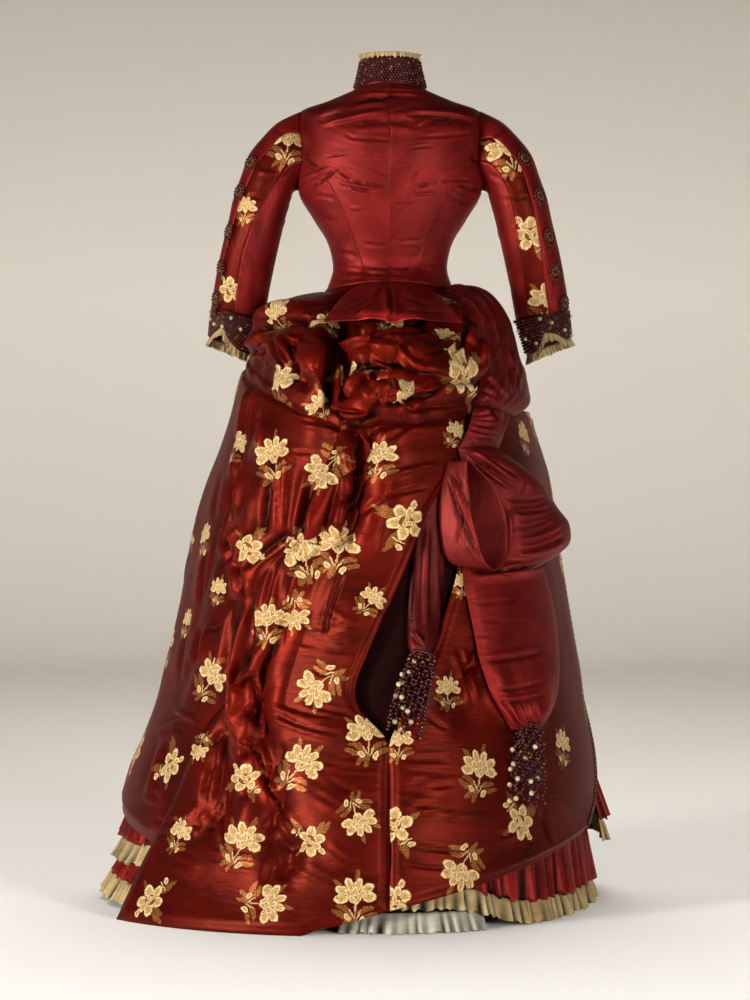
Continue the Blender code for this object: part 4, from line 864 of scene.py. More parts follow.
POUF_CREASES = [
    (302, 297, 245, 338, 6, 5, 5), (243, 352, 274, 336, 4, 3.5, -7), (275, 334, 287, 374, 1, 1.8, -5),
    (284, 334, 296, 372, -2, 1.8, -5), (280, 333, 292, 366, 0, 1.6, 4), (268, 338, 272, 368, 1, 2, -3.5),
    (287, 331, 316, 340, -3, 3.5, 4), (317, 338, 312, 398, -5, 4.5, 6), (322, 343, 333, 416, 3, 5.5, -10),
    (282, 392, 328, 415, 2, 2, -5), (302, 352, 295, 362, 0, 1.8, -4), (262, 322, 300, 310, 2, 2.5, -3),
    (300, 322, 340, 318, 1, 2.2, -2.5), (290, 310, 335, 305, 1, 2, -2.5), (345, 320, 428, 323, 2, 4, -7),
    (337, 358, 352, 341, -2, 3, 5), (352, 341, 428, 318, -4, 3, 5), (352, 346, 448, 336, -3, 2, -4),
    (339, 361, 383, 350, -5, 3, 5), (383, 351, 428, 372, 2, 2.8, 5), (370, 357, 396, 366, 0, 2.4, -7),
    (396, 366, 446, 373, 3, 2.4, -8), (384, 334, 418, 364, 2, 1.8, -3), (417, 363, 468, 336, 3, 2.4, -4),
    (448, 304, 468, 330, -4, 3, -7), (468, 330, 448, 358, -4, 3, -6), (347, 400, 379, 375, -3, 3.5, 6),
    (379, 375, 450, 388, -3, 3.5, 5), (344, 366, 351, 394, -2, 3.5, -5), (345, 411, 376, 402, 2, 2.4, -8),
    (376, 402, 380, 386, 1, 2, -5), (386, 405, 420, 388, 4, 4.5, -7), (360, 388, 400, 396, 2, 1.8, -3),
    (350, 352, 380, 343, -1, 1.5, -2.5),
]
DRAPE_CREASES = [
    (257, 384, 247, 448, 2, 3, -9), (247, 446, 237, 522, 1, 3.4, -8), (268, 400, 262, 470, 2, 5, 4),
    (287, 436, 281, 536, 1, 2.2, -4), (289, 452, 316, 452, 1, 1.6, -1.8), (226, 470, 217, 524, 1, 3.5, -4),
    (345, 432, 333, 548, -5, 4, 5), (355, 420, 352, 506, -3, 4, -14), (352, 500, 341, 534, -1, 3.5, -9),
    (318, 462, 300, 545, 2, 4, -5), (380, 482, 442, 464, -3, 3, 2), (378, 502, 428, 487, -2, 2.4, -2),
    (384, 446, 430, 418, -3, 3, -3), (366, 520, 384, 500, -1, 2.4, -2.5), (300, 418, 345, 428, 2, 3, -4),
    (250, 530, 230, 566, 1, 4, -7), (238, 556, 246, 600, -2, 4, -8), (246, 598, 226, 688, 2, 4, -9),
    (243, 655, 235, 742, 1, 3, -9), (250, 658, 238, 734, 1, 2.2, 5), (238, 732, 284, 798, 3, 2.4, 5),
    (255, 662, 253, 744, -3, 3.2, -8), (253, 742, 284, 812, 3, 4, -9), (284, 810, 300, 836, 1, 3.5, -6),
    (292, 640, 366, 653, 3, 2, -2.6), (294, 649, 367, 641, 3, 2, 2.2), (322, 606, 366, 633, 3, 2.2, -2.8),
    (296, 628, 360, 624, 2, 2, -2), (272, 712, 345, 734, 5, 2.4, -4.5), (272, 704, 340, 722, 5, 2.2, 3.2),
    (300, 700, 362, 716, 3, 2, -2.2), (305, 668, 360, 676, 3, 2, -2), (311, 768, 386, 778, 3, 2.2, -3),
    (318, 784, 386, 795, 3, 2.2, -3), (320, 757, 384, 764, 3, 1.8, 2.2), (320, 772, 384, 806, 4, 2.2, -2.4),
    (309, 789, 386, 826, 4, 2.4, -3.4), (326, 844, 357, 866, 2, 2.2, -3.2),
    (302, 865, 342, 885, 2, 2.2, -3), (290, 862, 306, 882, 1, 2.4, -3.4), (296, 838, 330, 852, 2, 2.4, 2.8),
    (334, 868, 384, 880, 2, 2.2, -2.2), (391, 757, 448, 759, 2, 2, -2.6), (391, 777, 484, 786, 3, 2, -2.8),
    (389, 798, 451, 806, 3, 2.4, -3.2), (391, 808, 494, 816, 3, 1.8, 2.2), (423, 712, 448, 730, 2, 2, -2),
    (395, 790, 460, 792, 2, 1.7, 2), (390, 840, 470, 852, 3, 2.2, -2.4), (400, 862, 450, 868, 2, 2, -2),
    (539, 808, 550, 848, 1, 2.2, -2.6), (493, 838, 530, 820, 2, 2.4, -2.6),
    (456, 648, 474, 706, 1, 2.6, -6), (565, 600, 580, 690, -1, 2.6, -4), (191, 573, 206, 575, 1, 1.6, -2.6),
    (210, 631, 228, 627, 1, 1.6, -2.6), (212, 540, 204, 610, 1, 3, -5), (206, 626, 199, 668, 1, 2.6, -5),
    (174, 706, 202, 722, 2, 2.2, 3), (158, 737, 184, 728, 1, 2.2, -3.2), (160, 725, 190, 712, 1, 1.8, -2.4),
    (215, 764, 207, 808, 2, 3, -6), (207, 806, 190, 838, 2, 3, -5), (222, 740, 214, 800, -2, 2.4, 4),
    (140, 790, 176, 800, 2, 2.4, -3), (150, 820, 200, 824, 2, 3, -3.6), (230, 792, 226, 850, 2, 3, -4),
    (205, 856, 262, 866, 2, 3, -3.4), (170, 858, 206, 872, 2, 2.6, -2.8), (255, 820, 262, 856, -1, 2.6, -3),
    (236, 500, 222, 560, 1, 3, 3.6), (196, 600, 182, 690, 1, 3.4, -3.6), (168, 740, 150, 800, 1, 3.4, 3),
    (280, 560, 262, 640, 2, 3, -4), (300, 566, 284, 650, 2, 2.4, 3.2), (345, 570, 325, 640, 2, 2.6, -2.6),
]
BOW_CREASES = [
    (450, 299, 480, 336, -4, 2.6, -5), (480, 334, 476, 366, -2, 2.6, -4), (464, 296, 491, 336, -5, 2.2, -4),
    (491, 334, 482, 366, -2, 2.2, -3.6), (476, 296, 498, 336, -4, 2, -3.6),
    (498, 334, 488, 362, -2, 2, -3.2), (488, 302, 506, 345, -3, 1.8, -3),
    (494, 342, 520, 394, -4, 2.4, 3.5), (496, 352, 513, 394, -3, 2.2, -3.5),
    (506, 345, 522, 384, -2, 2, -2.6), (474, 384, 498, 398, 2, 2.2, -3.6), (484, 370, 508, 398, 1, 2.2, 3),
    (468, 416, 497, 413, 1, 1.8, -3), (464, 426, 497, 434, 2, 1.8, -3), (470, 406, 483, 399, 1, 1.6, -2.6),
    (486, 403, 502, 422, 1, 1.8, -2.4), (470, 421, 497, 423, 1, 1.6, 2.4),
    (466, 437, 492, 441, 1, 1.6, -2.6), (466, 451, 517, 488, 1, 2, -4), (470, 448, 520, 482, 1, 2, 3),
    (528, 482, 523, 492, 0, 1.6, -2.5), (470, 462, 508, 492, 1, 1.8, -2.4),
    (495, 506, 498, 554, -4, 3.6, -10), (488, 504, 490, 563, -4, 2.4, 5), (506, 508, 508, 545, -2, 2.4, 4),
    (515, 512, 551, 508, 2, 2, -3), (514, 552, 566, 534, 4, 2.8, -5), (518, 540, 562, 524, 3, 2.4, 3),
    (508, 528, 548, 520, 3, 1.8, -2.4), (505, 500, 545, 497, 2, 1.6, -2.2),
    (476, 575, 541, 566, 1, 1.8, -4.5), (486, 498, 482, 540, 1, 1.8, -2.5),
    (466, 508, 458, 545, 1, 1.8, -2.5), (462, 530, 484, 565, 2, 1.8, 2.5),
]
SASH_CREASES = [
    (470, 604, 520, 600, 1, 1.8, -1.8), (462, 637, 494, 634, 1, 1.6, -1.6),
    (483, 662, 545, 652, 2, 2.2, -2.4), (484, 656, 540, 645, 2, 2, 1.8), (493, 698, 545, 690, 3, 2.2, 2.4),
    (492, 690, 548, 680, 3, 2, -2.4), (529, 696, 541, 730, 1, 2, -5), (503, 700, 524, 734, 1, 2, -5),
    (484, 682, 516, 731, 2, 2.2, -5), (494, 694, 520, 732, 1, 1.8, 4), (517, 700, 530, 732, 1, 1.8, 4),
    (478, 618, 520, 622, 2, 1.6, -1.4), (414, 545, 411, 640, 0, 2, -3), (441, 560, 442, 628, 0, 2, -3),
    (428, 520, 425, 640, 1, 3, 3), (400, 600, 396, 650, 0, 2, -2.5), (408, 634, 404, 660, 0, 1.8, -4),
    (418, 640, 412, 664, 0, 1.8, -4), (390, 590, 372, 690, 1, 2.8, -3), (414, 630, 424, 645, 0, 1.8, 4),
]
SLEEVE_CREASES = [
    (262, 118, 292, 140, 2, 2.4, -2.2), (268, 180, 292, 172, 1, 2, -2.4), (256, 170, 282, 176, 1, 2.2, 1.8),
    (248, 196, 272, 196, 1, 2, -2.2), (240, 232, 266, 236, 1, 1.8, -1.8), (246, 218, 270, 214, 1, 1.8, 1.6),
    (230, 262, 262, 266, 1, 1.8, -1.8), (226, 286, 258, 284, 1, 1.6, -1.4),
    (488, 140, 516, 120, 2, 2.4, -2.2), (486, 172, 514, 182, 1, 2, -2.4), (500, 200, 528, 196, 1, 2, -2.2),
    (496, 176, 522, 170, 1, 2.2, 1.8), (508, 222, 536, 226, 1, 1.8, -1.8),
    (512, 250, 544, 246, 1, 1.8, -1.8), (518, 276, 548, 280, 1, 1.6, -1.6),
    (510, 236, 536, 234, 1, 1.8, 1.6), (372, 300, 384, 288, 0, 2, -2), (389, 284, 390, 330, 0, 2.4, -7),
    (350, 318, 378, 300, 1, 1.8, -2.2), (400, 296, 436, 306, 1, 2, -2.4), (402, 310, 450, 312, 1, 1.6, -2),
    (345, 308, 372, 296, 1, 1.6, 1.8),
]
STRENGTHS = [
    (BODICE_CREASES, 1.35),
    (POUF_CREASES, 2.0),
    (DRAPE_CREASES, 1.7),
    (BOW_CREASES, 1.6),
    (SASH_CREASES, 1.5),
    (SLEEVE_CREASES, 1.4),
]
CREASES = np.concatenate([np.array(table) * [1, 1, 1, 1, 1, 1, strength] for table, strength in STRENGTHS])
print("creases", len(CREASES))

# %% [markdown]
# Across its line, a crease is a bell curve with a shallow bank beside it, because cloth that sinks in one
# place is pushed up next to it. The deepest ones have the highest banks. Along its line it fades at both
# ends.

# %% The form of a crease
CREASE_TAPER = 0.28
CREASE_HEIGHT = 1.8
DEEP = -4.5
BESIDE, BESIDE_DEEP, BESIDE_SPREAD = 0.45, 0.8, 4.5
REACH_PX = 8
FACES_FROM, FACES_FULLY = 0.08, 0.35


def line_rise(places, crease):
    """How far one crease lifts each place: full in the middle of its line, and nothing past its ends."""
    x1, y1, x2, y2, bow, width, rise = crease
    span = np.array([x2 - x1, y2 - y1])
    length = np.hypot(*span)
    span = span / length
    from_start = places - [x1, y1]
    t = from_start @ span / length
    aside = from_start @ [-span[1], span[0]] - bow * 4 * t * (1 - t)
    taper = smoothstep(t / CREASE_TAPER) * smoothstep((1 - t) / CREASE_TAPER)
    near = (aside / width) ** 2
    beside = BESIDE_DEEP if rise < DEEP else BESIDE
    return rise * taper * CREASE_HEIGHT * (np.exp(-near) - beside * np.exp(-near / BESIDE_SPREAD))


def seen_rise(grid, ring):
    """The photograph's creases on a grid, in metres, on the side that faces the camera."""
    pixels = photo_pixels(grid)
    total = np.zeros(grid.shape[:2])
    lowest, highest = pixels.min(axis=(0, 1)) - REACH_PX, pixels.max(axis=(0, 1)) + REACH_PX
    for crease in CREASES:
        ends = crease[:4].reshape(2, 2)
        if (ends.max(axis=0) > lowest).all() and (ends.min(axis=0) < highest).all():
            total += line_rise(pixels, crease)
    return total * smoothstep((facing(grid, ring) - FACES_FROM) / FACES_FULLY) * MM


# %% [markdown]
# ## The sides that the photograph doesn't show
# The dress has folds all round. Where none can be placed one by one they are strewn by fixed random draws:
# along the pull of the cloth, down a skirt and across a sleeve, and one in three raised. Angles are degrees
# from level, lengths and widths metres of cloth, and depths millimetres.

# %% Creases on the other sides
Drag = namedtuple("Drag", "count angle length width depth")
FOLDED = Drag(26, 80, 0.17, 0.012, 4.5)
WRINKLED = Drag(16, 10, 0.06, 0.006, 1.8)
HANGING = Drag(14, 88, 0.30, 0.016, 5.0)
PUFFED = Drag(12, 30, 0.10, 0.010, 5.0)
MOST_TURN = 18
LENGTHS, DEPTHS, WIDTHS = (0.5, 1.4), (0.4, 1.1), (0.6, 1.4)
MOST_BOW = 0.08
RAISED, RAISED_EACH = 0.8, 3
HIDDEN_FROM, HIDDEN_FADE = 0.5, 2.5


def hidden_rise(grid, ring, drag, seed):
    """Creases like the seen ones, strewn over the side that the photograph doesn't show."""
    random = np.random.default_rng(seed)
    places = np.stack(flat_places(grid), -1)
    total = np.zeros(grid.shape[:2])
    for number in range(drag.count):
        i, j = random.integers(grid.shape[0]), random.integers(grid.shape[1])
        angle = math.radians(drag.angle + random.uniform(-MOST_TURN, MOST_TURN))
        length = drag.length * random.uniform(*LENGTHS)
        half = np.array([math.cos(angle), math.sin(angle)]) * length / 2
        sign = RAISED if number % RAISED_EACH == 0 else -1
        rise = sign * drag.depth * random.uniform(*DEPTHS)
        width = drag.width * random.uniform(*WIDTHS)
        bow = length * random.uniform(-MOST_BOW, MOST_BOW)
        total += line_rise(places, (*(places[i, j] - half), *(places[i, j] + half), bow, width, rise))
    return total * smoothstep(HIDDEN_FROM - facing(grid, ring) * HIDDEN_FADE) * MM


print("strewn creases on a piece", [drag.count for drag in (FOLDED, WRINKLED, HANGING, PUFFED)])

# %% [markdown]
# ## Gathers
# Frills and flounces are drawn up on a thread, so they stand in waves that are held at the seam and open
# towards the free edge. The walls have the large waves. The small ones are sums of sines whose steps never
# agree, so no two waves are alike. Steps and depths are in millimetres.

# %% Gathers
RIPPLE, RIPPLE_LAG = 0.55, 3
Gather = namedtuple("Gather", "step depth")
GATHERS = {
    "cuff_frill_left": Gather(8, 2.4),
    "cuff_frill_right": Gather(8, 2.4),
    "collar_ruche": Gather(8, 2.2),
    "flounce_edging": Gather(21, 5.0),
    "hem_frill": Gather(19, 5.5),
    "balayeuse": Gather(19, 4.0),
    "flounce_pleated": Gather(30, 7.0),
    "hem_flounce": Gather(36, 8.0),
}
AT_THE_SEAM = 0.3


def gathered_rise(grid, gather):
    """Small waves along a gathered edge, uneven in step and depth, that grow towards its free side."""
    along, up = flat_places(grid)
    down = -up / np.maximum(-up[-1:], 1e-9)
    phase = (along.mean(axis=0) + 0 * along) / (gather.step * MM) * 2 * math.pi
    # The shares of the step, 0.23, 0.41, 1.6 and 0.17, have no common measure.
    uneven = 1.3 * np.sin(phase * 0.23 + 1) + 0.9 * np.sin(phase * 0.41)
    wave = np.sin(phase + uneven + 0.5 * down) + 0.3 * np.sin(phase * 1.6 + 2 * uneven)
    growth = AT_THE_SEAM + (1 - AT_THE_SEAM) * down
    return gather.depth * MM * growth * wave * (0.75 + 0.25 * np.sin(phase * 0.17))


print("gathered pieces", len(GATHERS))

# %% [markdown]
# ## The puffs
# The brocade is looped up over the bustle and tumbles in soft rolls. Each roll is a rounded swelling with a
# lip on one side and a hollow under the lip, dark from its depth and from the painted fold shade. The lip
# runs from the first pixel to the second, and the body lies on the left of that way, seen from behind. Bows
# and widths are in pixels, and the swelling in millimetres.

# %% Rolls of the puffs
Roll = namedtuple("Roll", "x1 y1 x2 y2 bow width out")
ROLLS = rows_of(Roll, [
    (337, 367, 437, 373, -11, 18, 13), (406, 364, 338, 350, 12, 12, 6), (440, 376, 345, 396, 15, 16, 9),
    (334, 405, 378, 398, 14, 14, 10), (378, 398, 440, 384, 4, 12, 6), (286, 337, 298, 388, -14, 12, 12),
    (320, 402, 314, 333, 7, 12, 10), (338, 345, 334, 408, 3, 10, 8), (240, 338, 276, 343, 8, 12, 8),
    (250, 335, 318, 323, -8, 14, 8), (462, 312, 462, 350, -8, 10, 8), (345, 322, 428, 322, 3, 12, 6),
    (372, 440, 352, 560, -5, 18, 9), (332, 560, 352, 430, 6, 12, 7), (328, 470, 300, 560, 3, 12, 6),
    (286, 440, 270, 540, 2, 14, 6), (298, 532, 246, 575, 2, 10, 5), (243, 470, 236, 560, 2, 14, 7),
    (262, 640, 232, 770, 6, 14, 8), (300, 600, 262, 740, 8, 16, 7), (486, 562, 447, 470, 4, 10, 4),
    (450, 472, 484, 560, 2, 10, 4), (503, 556, 493, 505, 3, 8, 3), (508, 505, 504, 560, -2, 14, 4),
    (545, 566, 470, 574, -2, 8, 3),
])
ROLL_TAPER = 0.2
HOLLOW = -9 * MM
BODY_MIDDLE, BODY_HALF = 0.25, 0.95
LIP_AT, LIP_SOFT = -0.3, 0.22
HOLLOW_WIDTH = 0.28
FACES_FULLY_ROLL = 0.3
print("rolls", len(ROLLS))


def rolled(grid, ring):
    """How far the rolls lift each point, in metres, and how deep it lies in the hollow under a lip."""
    pixels = photo_pixels(grid)
    lift, hollow = np.zeros(grid.shape[:2]), np.zeros(grid.shape[:2])
    for roll in ROLLS:
        span = np.array([roll.x2 - roll.x1, roll.y2 - roll.y1])
        length = np.hypot(*span)
        span = span / length
        from_start = pixels - [roll.x1, roll.y1]
        t = from_start @ span / length
        body = (roll.bow * 4 * t * (1 - t) - from_start @ [-span[1], span[0]]) / roll.width
        taper = smoothstep(t / ROLL_TAPER) * smoothstep((1 - t) / ROLL_TAPER)
        across = (body - BODY_MIDDLE) / BODY_HALF
        round_back = np.sqrt(np.clip(1 - across**2, 0, 1)) * (body > LIP_AT)
        lift += roll.out * MM * taper * round_back * smoothstep((body + LIP_SOFT) / LIP_SOFT)
        hollow += taper * np.exp(-(((body - LIP_AT) / HOLLOW_WIDTH) ** 2))
    seen = smoothstep(facing(grid, ring) / FACES_FULLY_ROLL)
    return lift * seen, np.clip(hollow, 0, 1) * seen * HOLLOW


# %% [markdown]
# ## Edges
# The bottom of a puff is turned under and stuffed by its own folds, so it swells and hangs unevenly. A sewn
# edge goes on under its neighbour: each piece reaches a little past its wall, and no slit shows between
# two.

# %% Rolled edges and sewn seams
ROLL_WIDTH = 20 * MM
ROLLED = {"pouf_left": 7 * MM, "pouf_right": 8 * MM}
STAND_OFF = 1.5 * MM
EVEN, UNEVEN = 0.55, 0.22
SEAM_REACH = 1.3 * MM


def rolled_edge(grid, depth):
    """The bottom of a puff turned under: it swells, and hangs lower in some places than in others."""
    down = run_of(grid, 0)
    along = flat_places(grid)[0]
    share = (down[-1:] - down) / ROLL_WIDTH
    # Three waves along the edge, 114, 65 and 42 mm long.
    waves = np.sin(along * 55 + 1) + 0.6 * np.sin(along * 97 + 2.5) + 0.4 * np.sin(along * 151)
    uneven = EVEN + UNEVEN * waves
    swell = depth * uneven * np.sin(math.pi * np.clip(share, 0, 1)) ** 0.7
    drop = depth * np.clip(uneven, 0, 1) * smoothstep(1 - share)
    moved = grid + outward(grid) * (swell + STAND_OFF * smoothstep(1 - share))[..., None]
    moved[..., 2] -= drop
    return moved


def reaching(grid, ring):
    """The grid with its edges carried a little way on, so that sewn pieces meet with no slit between them."""
    grid = grid.copy()
    for _ in range(1 if ring else 2):
        for edge, inner in ((0, 1), (-1, -2)):
            way = grid[edge] - grid[inner]
            length = np.maximum(np.linalg.norm(way, axis=-1, keepdims=True), 1e-9)
            grid[edge] = grid[edge] + way / length * SEAM_REACH
        if not ring:
            grid = grid.transpose(1, 0, 2).copy()
    return grid


# %% [markdown]
# ## Room to move
# A fold may not cut into the cloth under it. So each point looks along its own way for the nearest wall of
# any piece, and moves only a part of that distance. Towards a piece's edges the folds fade, because a seam
# holds them.

# %% Room to move
EDGE_FADE = 14 * MM
LEAST_AT_EDGE = 0.15
CLEARANCE = 1.8 * MM
LOOK_AHEAD = 1.5
ROOM_SHARE = 0.75
SMALLEST_MOVE = 0.6 * MM
tree_points, tree_faces = [], []
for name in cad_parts:
    points, triangles = merged(name)
    tree_faces.append(triangles + sum(map(len, tree_points)))
    tree_points.append(points)
WALLS_TREE = BVHTree.FromPolygons(np.concatenate(tree_points).tolist(), np.concatenate(tree_faces).tolist())
print("faces of all walls", sum(map(len, tree_faces)))


def edge_fade(grid, ring):
    """Nothing to one, from a piece's edges inwards, so that its seams stay where they are sewn."""
    down = run_of(grid, 0)
    nearest = np.minimum(down, down[-1] - down)
    if not ring:
        across = run_of(grid, 1)
        nearest = np.minimum(nearest, np.minimum(across, across[:, -1:] - across))
    return LEAST_AT_EDGE + (1 - LEAST_AT_EDGE) * smoothstep(nearest / EDGE_FADE)


def moved_out(grid, rise, ring, lift=0.0):
    """The grid moved along its own outward direction, no further than its neighbours leave room for."""
    normals = outward(grid, ring)
    fade = edge_fade(grid, ring)
    rise = rise * fade + lift * fade**3
    for i, j in np.argwhere(np.abs(rise) > SMALLEST_MOVE):
        way = normals[i, j] * np.sign(rise[i, j])
        start = grid[i, j] + way * CLEARANCE
        distance = WALLS_TREE.ray_cast(start, way, abs(rise[i, j]) * LOOK_AHEAD + CLEARANCE)[3]
        if distance is not None:
            rise[i, j] = np.sign(rise[i, j]) * min(abs(rise[i, j]), distance * ROOM_SHARE)
    return grid + normals * rise[..., None]


# %% [markdown]
# ## The pieces
# Each row names a wall of the frame, its finish, the size of its cells in millimetres, how the cloth is
# held and the creases on its hidden side. Cells are small where the photograph shows much, as on the
# bodice's back and the bow. Gathered cloth is the thinnest.

# %% Table of pieces
Piece = namedtuple("Piece", "node finish cell held drag", defaults=[None])
PIECES = []
for side in ("left", "right"):
    PIECES += rows_of(Piece, [
        (f"bodice_back_{side}", SATIN, 2.6, "stretched"),
        (f"bodice_side_{side}", SATIN, 3.2, "stretched", WRINKLED),
        (f"bodice_front_{side}", SATIN, 5, "stretched", WRINKLED),
        (f"sleeve_upper_{side}", BROCADE, 4, "stretched", WRINKLED),
        (f"sleeve_under_{side}", SATIN, 4, "stretched", WRINKLED),
        (f"sleeve_strip_{side}", SATIN, 4, "stretched"),
        (f"cuff_band_{side}", BEADED, 3, "stretched"),
        (f"cuff_frill_{side}", CREAM, 2, "gathered"),
    ])
PIECES += rows_of(Piece, [
    ("collar_band", BEADED, 3, "stretched"),
    ("collar_ruche", CREAM, 2, "gathered"),
    ("postilion", SATIN, 3, "draped"),
    ("underskirt_front", SATIN, 14, "hung", HANGING),
    ("underskirt_left", SATIN, 14, "hung", HANGING),
    ("underskirt_right", SATIN, 14, "hung", HANGING),
    ("underskirt_back", SHADED, 20, "hung"),
    ("flounce_pleated", SATIN, 5, "gathered"),
    ("flounce_edging", CREAM, 3.2, "gathered"),
    ("hem_flounce", SATIN, 6, "gathered"),
    ("hem_frill", CREAM, 3, "gathered"),
    ("balayeuse", LACE, 3, "gathered"),
    ("drape_left", BROCADE, 5, "draped", FOLDED),
    ("drape_back", BROCADE, 4.6, "draped"),
    ("drape_right", BROCADE, 5.4, "draped", FOLDED),
    ("pouf_left", BROCADE, 3, "draped", PUFFED),
    ("pouf_right", BROCADE, 3, "draped", PUFFED),
    ("hip_swag", WINE, 3, "draped", PUFFED),
    ("bow_knot", WINE, 2.2, "folded"),
    ("bow_loop_wide", WINE, 2.8, "folded", PUFFED),
    ("bow_loop_narrow", WINE, 4, "folded"),
    ("sash_long", SATIN, 3.4, "hung"),
    ("sash_short", WINE, 3.4, "hung"),
])
NARROWEST = 10 * MM
print("pieces", len(PIECES))


def declare(node, grid, ring=False):
    """Says which wall a piece replaces and how its cloth was cut, and hides that wall."""
    width, length, area = cut_size(grid, ring)
    length = max(length, NARROWEST)
    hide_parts(node)
    print(node, "cut", round(width, 3), "by", round(length, 3), "m, area", round(area, 3))

# %% [markdown]
# ## Fullness and shade
# The full pieces stand off their walls, which gives their folds room to sink. Three places lie in the shade
# of other cloth, as deep as a fold of so many millimetres: the short sash end under the drape, the yoke
# between its folds, and the inside of the bow's wide loop, where one fold catches the light.

# %% Fullness and shade
FULL = {
    "pouf_left": 5 * MM, "pouf_right": 5 * MM, "hip_swag": 2 * MM,
    "drape_left": 6 * MM, "drape_back": 6 * MM, "drape_right": 4 * MM,
    "bow_loop_wide": 1 * MM, "bow_loop_narrow": 0.0, "sash_long": 1 * MM,
}
SHADE = {"sash_short": 3.4 * MM}
YOKE_SHADE, YOKE_FOOT, YOKE_FADE = 2.6 * MM, 132, 22
INSIDE_SHADE, INSIDE_EDGE = 6.5 * MM, 4
INNER_FOLD = Crease(478, 486, 493, 560, 2, 8, INSIDE_SHADE / CREASE_HEIGHT)


def shaded(rise, node, flat, ring):
    """The rise that gives a piece its tone, lowered where other cloth keeps the light off it."""
    rise = rise - SHADE.get(node, 0)
    if node.startswith("bodice_back"):
        rise = rise - YOKE_SHADE * smoothstep((YOKE_FOOT - photo_pixels(flat)[..., 1]) / YOKE_FADE)
    if node == "bow_loop_wide":
        lit = np.maximum(line_rise(photo_pixels(flat), INNER_FOLD), 0)
        rise = rise - (INSIDE_SHADE - lit) * smoothstep(-INSIDE_EDGE * facing(flat, ring))
    return rise


print("full pieces", len(FULL))

# %% [markdown]
# Now each piece is made: its grid is refined, creased and gathered, carried on past its seams and given its
# flowers. The hidden creases' random draws start from the piece's name and number, so a run repeats
# exactly.

# %% Making the pieces
# Painted shade: a gather's waves count twice in the fold attribute, which darkens their valleys and lightens
# their crests.
GATHER_PAINTED_SHADE = 2
made = {}
for row in PIECES:
    grid, ring = grids[row.node]
    grid = finer(grid, row.cell * MM, ring)
    flat = grid
    rise = np.zeros(grid.shape[:2])
    if row.finish in (SATIN, WINE, BROCADE):
        rise = seen_rise(grid, ring)
        if row.drag:
            rise += hidden_rise(grid, ring, row.drag, len(row.node) * 7 + len(made))
        if row.node in FULL:
            lift, hollow = rolled(grid, ring)
            rise += lift + hollow
        grid = moved_out(grid, rise, ring, FULL.get(row.node, 0.0))
    if row.node in ROLLED:
        grid = rolled_edge(grid, ROLLED[row.node])
    if row.node in GATHERS:
        waves = gathered_rise(grid, GATHERS[row.node])
        grid = grid + outward(grid, ring) * waves[..., None]
        grid[..., 2] += np.roll(waves, RIPPLE_LAG, axis=1) * RIPPLE
        rise = rise + waves * GATHER_PAINTED_SHADE
    grid = reaching(grid, ring)
    flowers = all_flowers(grid, flat) if row.finish == BROCADE else None
    thickness = FRILL_WALL if row.held == "gathered" else CLOTH_WALL
    rise = shaded(rise, row.node, flat, ring)
    piece = cloth_mesh(row.node + "_cloth", grid, flat, ring, row.finish, thickness, flowers, rise)
    declare(row.node, grid, ring)
    made[row.node] = piece
print("cells", sum(len(piece.data.polygons) for piece in made.values()))

# %% [markdown]
# ## Beads
# The collar, the cuffs and the tassels are sewn over with garnet glass beads and a few gold and cream ones.
# Glass is smooth and keeps its default IOR, composition is a little duller, and gilt is part metal with
# worn spots. The real beads are about 2 mm: these are drawn twice as coarse, so that each one shows.

# %% Bead finishes
GRAIN_SCALE, GRAIN_DARK = 160.0, "8A8A8A"
GRAIN_RELIEF, GRAIN_DEPTH = 0.15, 0.0002


def glass(name, colour, roughness, metallic):
    """A bead's finish: shiny and uneven in tone, as beads from many batches are."""
    made, tree = new_material(name)
    place = add(tree, "TexCoord").outputs["Object"]
    grain = add(tree, "TexNoise", {}, {"Vector": place, "Scale": GRAIN_SCALE, "Detail": 1.0})
    dark = {0: 1.0, 6: linear(colour), 7: linear(GRAIN_DARK)}
    dark = add(tree, "Mix", {**RGBA, "blend_type": "MULTIPLY"}, dark).outputs[2]
    tone = add(tree, "Mix", RGBA, {0: grain, 6: dark, 7: linear(colour)}).outputs[2]
    bump = add(tree, "Bump", {}, {"Height": grain, "Strength": GRAIN_RELIEF, "Distance": GRAIN_DEPTH})
    shader = add(tree, "BsdfPrincipled", {}, {"Base Color": tone, "Roughness": roughness, "Normal": bump})
    shader.inputs["Metallic"].default_value = metallic
    shader.inputs["Specular IOR Level"].default_value = SILK_SPECULAR
    return finish_material(made, tree, shader)


GARNET = glass("garnet_glass_bead", "4C080B", 0.2, 0.0)
PEARL = glass("cream_composition_bead", "E6CF9C", 0.3, 0.0)
GOLD = glass("gilt_bead", "B07A34", 0.3, 0.7)
print("beads", GARNET.name, PEARL.name, GOLD.name)

# %% [markdown]
# A bead is a sphere with few faces, since there are thousands, and the large ones have more. It is modelled
# once, and a joined mesh holds a copy of it at each place.

# %% Making beads
BeadShape = namedtuple("BeadShape", "points faces")


def bead_shape(segments, rings):
    """A ball of radius one. Its faces are sorted, because Blender lists them in another order each time."""
    bpy.ops.object.select_all(action="DESELECT")
    bpy.ops.mesh.primitive_uv_sphere_add(segments=segments, ring_count=rings, radius=1.0)
    bead = bpy.context.object
    points = np.array([vertex.co[:] for vertex in bead.data.vertices])
    faces = sorted(tuple(face.vertices) for face in bead.data.polygons)
    bpy.data.objects.remove(bead)
    return BeadShape(points, faces)


SMALL_BEAD = bead_shape(6, 4)
LARGE_BEAD = bead_shape(14, 9)


